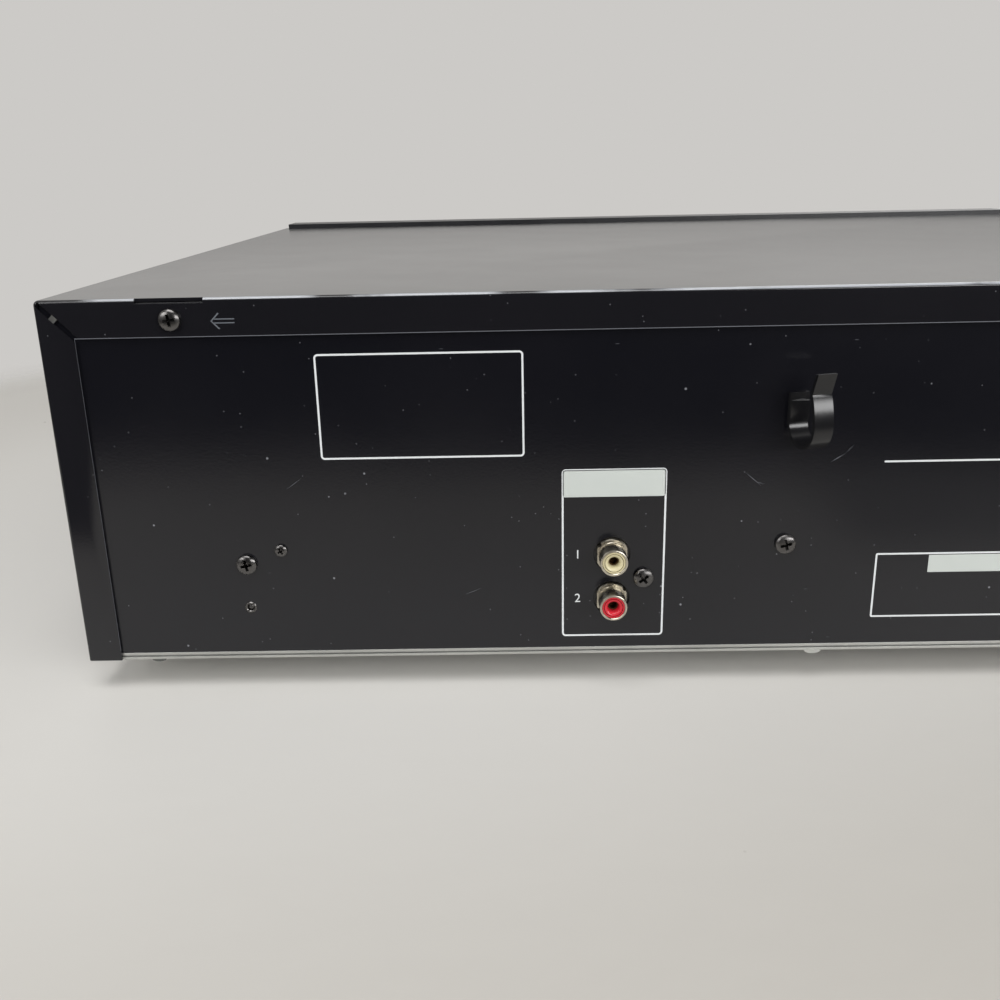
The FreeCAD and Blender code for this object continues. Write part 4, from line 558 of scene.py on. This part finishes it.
# the cover's screws: two in the rear flange and two in each side, with the turn of each head in degrees
SCREW_X, SCREW_Z = 176.5 * MM, 117 * MM
SIDE_Y, SIDE_Z = 110 * MM, 62 * MM
REAR_TURNS = ((1, 8), (-1, 31))
SIDE_TURNS = ((1, -1, 20), (1, 1, 65), (-1, -1, 40), (-1, 1, 75))
screws("cover_screw_heads", "case_screws",
       [(Vector((side * SCREW_X, rear, SCREW_Z)), (0, 1, 0), turn, 1) for side, turn in REAR_TURNS]
       + [(Vector((side * cover_high.x, end * SIDE_Y, SIDE_Z)), (side, 0, 0), turn, 1)
          for side, end, turn in SIDE_TURNS])
# x, z, turn and scale: three screws and the small rivet beside the first
PANEL_SCREWS = ((162.1, 42.3, 12, 1), (41.2, 36.0, 38, 1), (-1.3, 46.3, 15, 1), (151.3, 46.6, 30, 0.62))
screws("panel_screw_heads", "rear_screws",
       [(Vector((x * MM, panel_out, z * MM)), (0, 1, 0), turn, scale) for x, z, turn, scale in PANEL_SCREWS])


ADJUSTER_X, ADJUSTER_Z = 162.3 * MM, 27.9 * MM
# radius and height of each corner, in millimetres
EYELET = ((1.02, -0.6), (1.28, -0.6), (1.28, 0), (1.85, 0), (1.85, 0.18), (1.6, 0.42), (1.3, 0.42),
          (1.02, 0.15), (1.02, -0.6))
TRIMMER = ((0, -1.2), (0.95, -1.2), (0.95, -0.45), (0.6, -0.2), (0, -0.1))


def adjuster():
    """Small eyelet in the panel's access hole, with the round end of a trimmer behind it."""
    form = bmesh.new()
    base = facing(Vector((ADJUSTER_X, panel_out, ADJUSTER_Z)), (0, 1, 0)) @ Matrix.Scale(MM, 4)
    turned(form, EYELET, base, 48)
    turned(form, TRIMMER, base, 32)
    put("adjuster", form, BLACK_NICKEL, "chassis")


adjuster()


# ---------------------------------------------------------------- line-out sockets

JACK_X, JACK_HIGH, JACK_STEP = 50.8 * MM, 43.6 * MM, 14.4 * MM
# radii in millimetres, and half of a slot's width in radians
BARREL, INSIDE, BORE = 4.15, 3.45, 1.6
FLANGE, FLANGE_FLAT, SLOT_FLOOR, SLOT_HALF = 5.2, 4.5, 4.65, 0.09
# height, angle of the flange's slots, and the insert's piece, finish, slot and node
SOCKETS = (
    (JACK_HIGH, 140, "insert_upper", CREAM, "cream_plastic", "jack_insert_white"),
    (JACK_HIGH - JACK_STEP, 40, "insert_lower", RED, "red_plastic", "jack_insert_red"),
)


def flange_at(slot_turn):
    """How far the shell reaches at an angle: its flange has two flats and two slots."""
    first = math.radians(slot_turn)

    def reach_at(radius, angle):
        if radius < BARREL + 0.45:
            return radius
        across = abs(math.cos(angle))
        size = min(radius, FLANGE_FLAT / across) if across > 1e-3 else radius
        for slot in (first, first + math.pi):
            if abs((angle - slot + math.pi) % (2 * math.pi) - math.pi) < SLOT_HALF:
                size = min(size, SLOT_FLOOR)
        return size

    return reach_at


def sockets():
    """Nickel shells with a flatted, slotted flange, and a coloured insert with a funnelled bore in each."""
    reach = (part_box("jack_shells")[1].y - panel_out) / MM
    rim = INSIDE - 0.05
    shell_profile = (
        (INSIDE, -1), (FLANGE, -1), (FLANGE, 0.95), (FLANGE - 0.15, 1.2), (BARREL + 0.12, 1.2),
        (BARREL, 1.35), (BARREL, reach - 0.35), (BARREL - 0.08, reach - 0.12), (BARREL - 0.3, reach),
        (INSIDE + 0.12, reach), (INSIDE, reach - 0.12), (INSIDE, -1))
    contact_profile = ((0, -0.9), (BORE - 0.02, -0.9), (BORE - 0.02, reach - 2.8), (1.2, reach - 2.8),
                       (1.2, reach - 5.0), (0, reach - 5.0))
    insert_profile = (
        (BORE, -1), (rim, -1), (rim, reach - 0.35), (rim - 0.15, reach - 0.25), (2.95, reach - 0.25),
        (2.9, reach - 0.9), (2.72, reach - 0.9), (2.68, reach - 0.3), (2.2, reach - 0.42),
        (BORE + 0.25, reach - 0.75), (BORE, reach - 1.5), (BORE, -1))
    shells = bmesh.new()
    for number, (z, slot_turn, insert, material, slot, node) in enumerate(SOCKETS, 1):
        base = facing(Vector((JACK_X, panel_out, z)), (0, 1, 0)) @ Matrix.Scale(MM, 4)
        turned(shells, shell_profile, base, 96, flange_at(slot_turn))
        for name, profile, finish, in_slot, replaced in (
                (f"socket_contact_{number}", contact_profile, CONTACT, "nickel", ()),
                (insert, insert_profile, material, slot, [node])):
            put(name, turned(bmesh.new(), profile, base), finish, "chassis", replaced)
    put("socket_shells", shells, NICKEL, "chassis", ["jack_shells"])


sockets()


# ---------------------------------------------------------------- printed marks on the rear

# thickness of the paint, and width of a frame's line in millimetres
LAYER_MM = 0.03
LAYER = LAYER_MM * MM
LINE = 0.55


def on_rear(y):
    """Local x is the model's -X, local y is up, local z points out of the rear."""
    return Matrix(((-1, 0, 0, 0), (0, 0, 1, y), (0, 1, 0, 0), (0, 0, 0, 1)))


def in_mm(points):
    """The points in metres."""
    return [(x * MM, y * MM) for x, y in points]


def rear_print(name, draw, material=PRINT):
    """A mark on the rear panel."""
    form = bmesh.new()
    draw(form, on_rear(panel_out))
    put(name, form, material, "chassis")


def frame_lines(x_left, x_right, z_low, z_high, radius):
    """A rounded outline, in millimetres: x as the model's, left and right as seen from behind."""
    def draw(form, matrix):
        outer = rounded(-x_left * MM, -x_right * MM, z_low * MM, z_high * MM, radius * MM)
        inner = rounded(*(size * MM for size in (-x_left + LINE, -x_right - LINE, z_low + LINE, z_high - LINE,
                                                 max(radius - LINE, 0.2))))
        ruled_frame(form, outer, inner, matrix, LAYER)
    return draw


def bar(x0, x1, z0, z1):
    """Corner points of a rectangle."""
    return [(x0, z0), (x1, z0), (x1, z1), (x0, z1)]


def block(x_left, x_right, z_low, z_high, radius=0.1):
    """A filled patch, with its sides given as those of a frame."""
    def draw(form, matrix):
        slab(form, rounded(-x_left * MM, -x_right * MM, z_low * MM, z_high * MM, radius * MM), matrix, LAYER)
    return draw


# left, right, bottom and top, then the corners' radius
rear_print("notice_frame", frame_lines(137.0, 76.9, 74.9, 106.3, 1.2))
rear_print("line_out_frame", frame_lines(66.0, 34.8, 16.5, 70.7, 1.2))
rear_print("line_out_header", block(65.7, 35.1, 62.0, 70.4, 0.8), HEADER)
rear_print("long_rule", block(-28.9, -112.0, 71.2, 71.75))
rear_print("caution_frame", frame_lines(-29.0, -92.0, 21.5, 42.6, 0.6))
rear_print("caution_band", block(-45.1, -91.7, 36.2, 41.8, 0.2), HEADER)


def numeral(name, text, x, z, size, matrix, body="chassis"):
    """A plain printed number, as thin as paint, at a place on the matrix's face."""
    curve = bpy.data.curves.new(name, "FONT")
    curve.body = text
    curve.size = size * MM
    curve.align_x = "CENTER"
    curve.align_y = "CENTER"
    curve.extrude = LAYER / 2
    holder = bpy.data.objects.new(name + "_curve", curve)
    bpy.context.scene.collection.objects.link(holder)
    mesh = bpy.data.meshes.new_from_object(holder.evaluated_get(bpy.context.evaluated_depsgraph_get()))
    bpy.data.objects.remove(holder)
    mesh.name = name
    mesh.transform(matrix @ Matrix.Translation((x, z, LAYER / 2)))
    show(name, mesh, PRINT, body)


NUMBER_X = 61.2 * MM
for number, socket in enumerate(SOCKETS, 1):
    numeral(f"socket_number_{number}", str(number), -NUMBER_X, socket[0], 4.0, on_rear(panel_out))


def arrow():
    """Open arrow by the cover's screw: two shaft lines and two head strokes."""
    form = bmesh.new()
    matrix = on_rear(rear)
    tip, tail, z, thin, apart = -165.1, -158.3, 116.4, 0.32, 0.55
    for offset in (-apart, apart):
        slab(form, in_mm(bar(tip + 1.0, tail, z + offset - thin / 2, z + offset + thin / 2)), matrix, LAYER)
    for side in (-1, 1):
        points = ((tip, z), (tip + 0.45, z), (tip + 2.6, z + side * 2.15), (tip + 2.2, z + side * 2.35))
        slab(form, in_mm(points[::side]), matrix, LAYER)
    faded = moulding("faded print", tint(84, 88, 94), 0.5, 1500, 0.008)
    put("screw_arrow", form, faded, "chassis")


arrow()

# both ends and the width of each scratch
STROKES = (
    ((-13.1, 71.6), (-17.2, 74.1), 0.2), ((-17.4, 74.4), (-19.4, 76.6), 0.1),
    ((11.9, 69.0), (6.6, 64.4), 0.13), ((9.0, 66.0), (5.9, 65.1), 0.09),
    ((148.0, 66.0), (143.2, 69.4), 0.1), ((96.0, 31.0), (90.5, 33.2), 0.1),
)


def scratches():
    """Long scratches on the rear panel below the cord clip and beside it."""
    form = bmesh.new()
    matrix = on_rear(panel_out)
    for (x0, z0), (x1, z1), wide in STROKES:
        start, end = Vector((-x0, z0)), Vector((-x1, z1))
        across = (end - start).normalized() * wide / 2
        middle = (start + end) / 2
        side = Vector((across.y, -across.x))
        slab(form, in_mm((start, middle + side, end, middle - side)), matrix, LAYER / 3)
    enamel = moulding("scratched enamel", tint(98, 100, 106), 0.5)
    put("panel_scratches", form, enamel, "chassis")


def sagging(x, top, half, drop, steps=14):
    """Outline of a small lump that hangs from an edge."""
    angles = [math.pi + math.pi * step / steps for step in range(steps + 1)]
    return in_mm((x + half * math.cos(angle), top + drop * math.sin(angle)) for angle in angles)


def hem_lines():
    """Painted shade in the gap between the hem's two folds under the rear panel, and two small marks on its
    lower edge.
    """
    form = bmesh.new()
    matrix = on_rear(panel_out)
    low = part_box("bottom_chassis")[0].z / MM
    side = panel_high.x / MM
    # painted shade: a dark line where the gap between the two folds lies
    slab(form, in_mm(bar(-side, side, low + 0.95, low + 1.2)), matrix, LAYER)
    slab(form, sagging(-193, low + 0.1, 2.3, 0.8), matrix, LAYER)
    dark, slot = moulding("dark gap", tint(70, 71, 68), 0.6), SLOT_OF["bottom_chassis"]
    put("hem_gap_shade", form, dark, "chassis")
    drop = slab(bmesh.new(), sagging(12.1, low + 0.2, 2.6, 1.2), matrix, 0.3 * MM)
    put("hem_drop", drop, STEEL, "chassis")


def worn_edges():
    """Pale lines on the cover's rear flanges, the top one's lower edge and the side ones' inner edges: bare
    cut metal and a painted highlight of these edges.
    """
    form = bmesh.new()
    matrix = on_rear(rear) @ Matrix.Scale(MM, 4)
    inner, upper, lower = cover_high.x / MM - 10.6, cover_high.z / MM - 10.9, 14
    lines = [((-inner, upper), (inner, upper), 0.22)]
    lines += [((side * inner, upper), (side * inner, lower), 0.07) for side in (-1, 1)]
    for (x0, z0), (x1, z1), thin in lines:
        along = Vector((x1 - x0, z1 - z0)).normalized() * thin / 2
        points = [(x0 + along.y, z0 - along.x), (x1 + along.y, z1 - along.x),
                  (x1 - along.y, z1 + along.x), (x0 - along.y, z0 + along.x)]
        slab(form, points, matrix, LAYER_MM)
    # the pale colour is bare cut metal and painted highlight together
    bare = moulding("bare edge", tint(88, 90, 96), 0.4, 900, 0.01)
    put("flange_edge_highlight", form, bare, "chassis")


def mitre_tab():
    """Small bare weld that bridges the gap between the two flanges of the cover's corner."""
    form = bmesh.new()
    inset, half_width, half_length = 5.2 * MM, 0.9 * MM, 1.1 * MM
    spot = Vector((cover_high.x - inset, rear - 0.75 * MM, cover_high.z - inset))
    slanted = Matrix.Rotation(math.radians(-45), 4, "Y")
    matrix = Matrix.Translation(spot) @ slanted @ Matrix.Rotation(math.radians(-90), 4, "X")
    slab(form, rounded(-half_width, half_width, -half_length, half_length, 0.3 * MM), matrix, 0.6 * MM)
    put("corner_weld", form, ZINC, "chassis")


mitre_tab()
worn_edges()
hem_lines()
scratches()


# ---------------------------------------------------------------- knobs and marks on the front

def on_front(y):
    """Local x is the model's X, local y is up, local z points out of the front."""
    return Matrix(((1, 0, 0, 0), (0, 0, -1, y), (0, 1, 0, 0), (0, 0, 0, 1)))


def ring_part(inner, outer, start, end, steps=28):
    """Outline of a part of a flat ring, between two angles in degrees."""
    angles = [math.radians(start + (end - start) * step / steps) for step in range(steps + 1)]
    return ([(outer * math.cos(angle), outer * math.sin(angle)) for angle in angles]
            + [(inner * math.cos(angle), inner * math.sin(angle)) for angle in reversed(angles)])


SHAFT = 3.0


def fluted_knob(node, flutes, line_from, line_to):
    """Knob with a fluted side, a dished face with a rim and a raised pointer line, in millimetres."""
    low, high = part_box(node)
    x, z, radius = (low.x + high.x) / 2 / MM, (low.z + high.z) / 2 / MM, (high.x - low.x) / 2 / MM
    proud, behind, dish = (face - low.y) / MM, (high.y - face) / MM, 0.75
    matrix = on_front(face) @ Matrix.Translation((x * MM, z * MM, 0)) @ Matrix.Scale(MM, 4)

    def flute(size, angle):
        if size <= radius - 0.3:
            return size
        return size - 0.028 * radius * max(0.0, math.cos(flutes * angle)) ** 2

    profile = [(0, -behind), (SHAFT, -behind), (SHAFT, 0.4), (radius - 0.5, 0.4), (radius, 0.8),
               (radius, proud - 1.1), (radius - 0.35, proud - 0.5), (radius - 0.9, proud - 0.1),
               (radius - 1.4, proud - 0.03), (radius - 1.9, proud - 0.15), (radius - 2.4, proud - 0.5),
               (radius * 0.4, proud - 0.72), (0, proud - dish)]
    form = turned(bmesh.new(), profile, matrix, flutes * 10, flute)
    put(f"{node}_form", form, KEY, BODY_OF[node], [node])
    bottom = matrix @ Matrix.Translation((0, 0, proud - dish))
    pointer = slab(bmesh.new(), rounded(-0.45, 0.45, line_from, line_to, 0.4), bottom, 0.28)
    put(f"{node}_line", pointer, PRINT, BODY_OF[node])


fluted_knob("select_dial", 36, 7.5, 11.2)
fluted_knob("level_knob", 18, 1.4, 4.0)

DISCS = 5
# outlines in millimetres from the middle of each button
MARKS = {
    "play_button": [[(-2.4, -2.7), (2.7, 0), (-2.4, 2.7)]],
    "pause_button": [bar(-2.1, -0.7, -2.4, 2.4), bar(0.7, 2.1, -2.4, 2.4)],
    "stop_button": [bar(-2.2, 2.2, -2.2, 2.2)],
    "open_close_button": [[(-2.7, -0.5), (2.7, -0.5), (0, 2.4)], bar(-2.7, 2.7, -2.3, -1.3)],
    "disc_skip_button": [[(-3.3, -2), (-0.4, 0), (-3.3, 2)], [(-0.4, -2), (2.5, 0), (-0.4, 2)],
                         bar(2.7, 3.4, -2, 2)],
    "power_button": [ring_part(1.7, 2.2, 122, 418), bar(-0.27, 0.27, 0.5, 2.8)],
}


def middle_of(node, y=None):
    """The middle of a node seen from the front, on its foremost face or at a given y."""
    low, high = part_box(node)
    spot = ((low.x + high.x) / 2, (low.z + high.z) / 2, 0)
    return on_front(low.y if y is None else y) @ Matrix.Translation(spot)


for node, outlines in MARKS.items():
    form = bmesh.new()
    for outline in outlines:
        slab(form, in_mm(outline), middle_of(node), LAYER)
    put(f"{node}_mark", form, PRINT, BODY_OF[node])

for number in range(1, DISCS + 1):
    node = f"disc_button_{number}"
    numeral(f"{node}_number", str(number), 0, 0, 3.6, middle_of(node), BODY_OF[node])


def level_scale():
    """Eleven printed ticks round the level knob."""
    matrix = middle_of("level_knob", face)
    form = bmesh.new()
    sweep, ticks, start, long_end, short_end, half = 300, 11, 8.1, 9.9, 9.3, 0.17
    for step in range(ticks):
        turn = Matrix.Rotation(math.radians(sweep / 2 - sweep / (ticks - 1) * step), 4, "Z")
        tick = bar(-half, half, start, long_end if step % 5 == 0 else short_end)
        slab(form, in_mm(tick), matrix @ turn, LAYER)
    put("level_ticks", form, PRINT, "chassis")


level_scale()


def display_segments():
    """Unlit seven-part figures and five disc rings, faint on the display tube's face."""
    low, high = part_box("display_tube")
    middle = (low.z + high.z) / 2 / MM
    form = bmesh.new()
    wide, tall, thin, lean = 5.2, 10.0, 0.9, 0.12
    starts, colon, first_ring, ring_step = (-60, -52, -32, -24, -12, -4), -14.6, 18, 10.5
    levels = [side * (tall - thin) / 2 for side in (-1, 0, 1)]
    cells = [(0.3, wide - 0.3, level - thin / 2, level + thin / 2) for level in levels]
    cells += [(x, x + thin, z + 0.5, z + tall / 2 - 0.5) for x in (0, wide - thin) for z in (-tall / 2, 0)]
    matrix = on_front(low.y) @ Matrix.Scale(MM, 4)
    for start in starts:
        for cell in cells:
            slab(form, [(start + x + z * lean, middle + z) for x, z in bar(*cell)], matrix, LAYER_MM)
    for side in (-1, 1):
        dot = [(colon + x, middle + side * 2 + z) for x, z in bar(-0.5, 0.5, -0.5, 0.5)]
        slab(form, dot, matrix, LAYER_MM)
    for index in range(DISCS):
        spot = Matrix.Translation((first_ring + index * ring_step, middle + 3, 0))
        slab(form, ring_part(2.6, 3.4, 0, 350), matrix @ spot, LAYER_MM)
        slab(form, bar(-3, 3, -7.6, -6.8), matrix @ spot, LAYER_MM)
    put("display_segments", form, GHOST, "chassis")


display_segments()


def pocket_numbers():
    """Numbers 1 to 5, printed on the disc pockets' floors at the carousel's rim."""
    low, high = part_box("carousel")
    pocket_drop, rim_width, pitch = 4.5 * MM, 13.5 * MM, 360 / DISCS
    middle = Vector(((low.x + high.x) / 2, (low.y + high.y) / 2, high.z - pocket_drop))
    out = (high.x - low.x) / 2 - rim_width
    for index in range(DISCS):
        angle = math.radians(-90 + pitch / 2 - pitch * index)
        spot = middle + Vector((math.cos(angle), math.sin(angle), 0)) * out
        matrix = Matrix.Translation(spot) @ Matrix.Rotation(angle + math.pi / 2, 4, "Z")
        numeral(f"pocket_number_{index + 1}", str(index + 1), 0, 0, 8, matrix, BODY_OF["carousel"])


pocket_numbers()


# ---------------------------------------------------------------- finishes of the nodes that stay

for node_name, item in frame["nodes"].items():
    material = KEY if "button" in node_name else NODE_FINISH.get(node_name, FRONT)
    item.data.materials.clear()
    item.data.materials.append(material)
    item.data.polygons.foreach_set("use_smooth", [True] * len(item.data.polygons))


# ---------------------------------------------------------------- stage, light and camera

WALL = tint(204, 202, 199)
FLOOR = tint(214, 212, 208)
AMBIENT = 0.30
# a dim colour that glossy rays see: the world behind the eye, and the painted reflection of shade on the
# table
DIM_GLOSS = (0.004, 0.0042, 0.0055, 1)
# table tones: a random cloud, painted shade far from the case, and a painted shadow towards the eye
FLOOR_CLOUD, FLOOR_FAR_SHADE, FLOOR_NEAR_SHADOW = tint(209, 207, 202), tint(191, 188, 182), tint(182, 178, 171)
CRUMB, SPECK = tint(120, 112, 104), tint(140, 136, 128)


def make_floor():
    """Pale table, with painted shade and a painted reflection of shade on it, that runs on as the wall behind
    and fades out far away.
    """
    size, thick = 3.0, 0.01
    form = slab(bmesh.new(), bar(-size, size, -size, size), Matrix.Translation((0, 0, -thick)), thick)
    made = Finish("pale table", FLOOR, 0.55)
    made.tone(made.noise(3.5, 3), FLOOR_CLOUD, 0.6)
    distance = made.node("ShaderNodeVectorMath", operation="LENGTH")
    made.link(made.place, distance.inputs[0])
    # painted shade: the table darkens from 0.2 to 0.5 m away from the case's middle
    made.tone(made.span(distance.outputs["Value"], 0.2, 0.5), FLOOR_FAR_SHADE, 0.9)
    made.tone(made.flecks(11, 0.011, 0.35), CRUMB, 0.8)
    made.tone(made.flecks(42, 0.028, 0.12), SPECK, 0.6)
    made.relief(made.noise(70, 4), 0.15 * MM)
    along, across = made.axis("Y"), made.axis("X")
    # painted shadow: the table darkens towards the eye, along a line turned a little from the case's rear
    nearer = made.sums("SUBTRACT", along, made.sums("MULTIPLY", made.sums("ADD", across, 1.0), 0.4))
    made.tone(made.span(nearer, 0.12 - 0.4, 0.36 - 0.4), FLOOR_NEAR_SHADOW, 1.0)
    # painted reflection: for glossy rays only, the table shows a dim glow towards the eye and in a patch off
    # to the -X side, so the case's glossy faces mirror painted shade there
    path = made.node("ShaderNodeLightPath")
    aside = made.sums("MULTIPLY", made.sums("SUBTRACT", 0.25, across), 0.1)
    end = made.span(made.sums("ADD", along, aside), 0.38, 0.50)
    corner = made.sums("MULTIPLY", made.span(across, -0.045, -0.085), made.span(along, 0.27, 0.33))
    dark = made.sums("MAXIMUM", end, made.sums("MULTIPLY", corner, 0.5))
    glow = made.node("ShaderNodeEmission")
    glow.inputs["Color"].default_value = DIM_GLOSS
    mirrored = made.sums("MULTIPLY", dark, path.outputs["Is Glossy Ray"])
    surface = made.over(made.shader.outputs[0], glow.outputs[0], mirrored)
    fade = made.span(distance.outputs["Value"], 0.52, 0.66)
    surface = made.over(surface, made.node("ShaderNodeBsdfTransparent").outputs[0], fade)
    made.link(surface, made.tree.nodes["Material Output"].inputs["Surface"])
    mesh = finished(form, "table")
    mesh.materials.append(made.material)
    table = bpy.data.objects.new("table", mesh)
    bpy.context.scene.collection.objects.link(table)


def make_world():
    """Pale wall for the camera and for glossy faces in front, a dim room behind, even light for the rest."""
    world = bpy.data.worlds.new("room")
    bpy.context.scene.world = world
    world.use_nodes = True
    tree = world.node_tree

    # short calls for the world's nodes
    def add(kind, **settings):
        made = tree.nodes.new(kind)
        for key, value in settings.items():
            setattr(made, key, value)
        return made

    def ramp(source, low, high, to_low=0.0, to_high=1.0, kind="LINEAR"):
        made = add("ShaderNodeMapRange", interpolation_type=kind)
        for key, value in zip(("From Min", "From Max", "To Min", "To Max"), (low, high, to_low, to_high)):
            made.inputs[key].default_value = value
        tree.links.new(source, made.inputs["Value"])
        return made.outputs["Result"]

    def glow(colour, strength=None):
        made = add("ShaderNodeBackground")
        made.inputs["Color"].default_value = colour
        if strength is not None:
            tree.links.new(strength, made.inputs["Strength"])
        return made.outputs[0]

    def either(share, below, above):
        made = add("ShaderNodeMixShader")
        for source, socket in zip((share, below, above), made.inputs):
            tree.links.new(source, socket)
        return made.outputs[0]

    even = tree.nodes["Background"]
    even.inputs["Color"].default_value = (1, 1, 1, 1)
    even.inputs["Strength"].default_value = AMBIENT
    path = add("ShaderNodeLightPath")
    parts = add("ShaderNodeSeparateXYZ")
    tree.links.new(add("ShaderNodeTexCoord").outputs["Generated"], parts.inputs[0])
    behind = ramp(parts.outputs["Y"], -0.15, 0.45, kind="SMOOTHSTEP")
    wall = glow(WALL, ramp(parts.outputs["Z"], 0.095, 0.125, 0.70, 1.2))
    mirrored = either(behind, wall, glow(DIM_GLOSS))
    lit = either(path.outputs["Is Glossy Ray"], even.outputs[0], mirrored)
    direct = add("ShaderNodeMath", operation="MAXIMUM")
    tree.links.new(path.outputs["Is Camera Ray"], direct.inputs[0])
    tree.links.new(path.outputs["Is Transmission Ray"], direct.inputs[1])
    final = either(direct.outputs[0], lit, glow(WALL))
    tree.links.new(final, tree.nodes["World Output"].inputs["Surface"])


def lamp(name, spot, aim, size, power):
    """A rectangular lamp that shines from a spot at a point, unseen by the camera itself."""
    data = bpy.data.lights.new(name, "AREA")
    data.shape = "RECTANGLE"
    data.size, data.size_y = size
    data.energy = power
    item = bpy.data.objects.new(name, data)
    item.matrix_world = facing(Vector(spot), Vector(spot) - Vector(aim))
    item.visible_camera = False
    bpy.context.scene.collection.objects.link(item)


def make_camera():
    """The photograph's eye point: behind the rear, a little above the case and right of its middle."""
    eye = (79.65 * MM, 469.74 * MM, 156.97 * MM)
    yaw, pitch, roll = 0.94, 18.13, -1.24
    data = bpy.data.cameras.new("camera")
    data.sensor_width, data.lens = 36, 36.97
    item = bpy.data.objects.new("camera", data)
    turn = (Matrix.Rotation(math.radians(180 + yaw), 4, "Z")
            @ Matrix.Rotation(math.radians(90 - pitch), 4, "X"))
    item.matrix_world = Matrix.Translation(eye) @ turn @ Matrix.Rotation(math.radians(roll), 4, "Z")
    bpy.context.scene.collection.objects.link(item)
    bpy.context.scene.camera = item


make_floor()
make_world()
# where it hangs, what it points at, its two sides in metres and its power in watts
lamp("ceiling", (0.25, 0.95, 1.9), (0.0, 0.1, 0.0), (1.4, 1.1), 25)
lamp("side", (1.3, 1.3, 0.85), (0.0, 0.1, 0.02), (1.1, 0.7), 12)
lamp("front", (-0.9, -1.5, 1.2), (0.0, -0.2, 0.05), (1.2, 0.9), 10)
lamp("window", (-1.0, 1.3, 0.50), (0.0, 0.2, 0.088), (1.5, 0.36), 16)
make_camera()
bpy.context.scene.view_settings.view_transform = "Standard"
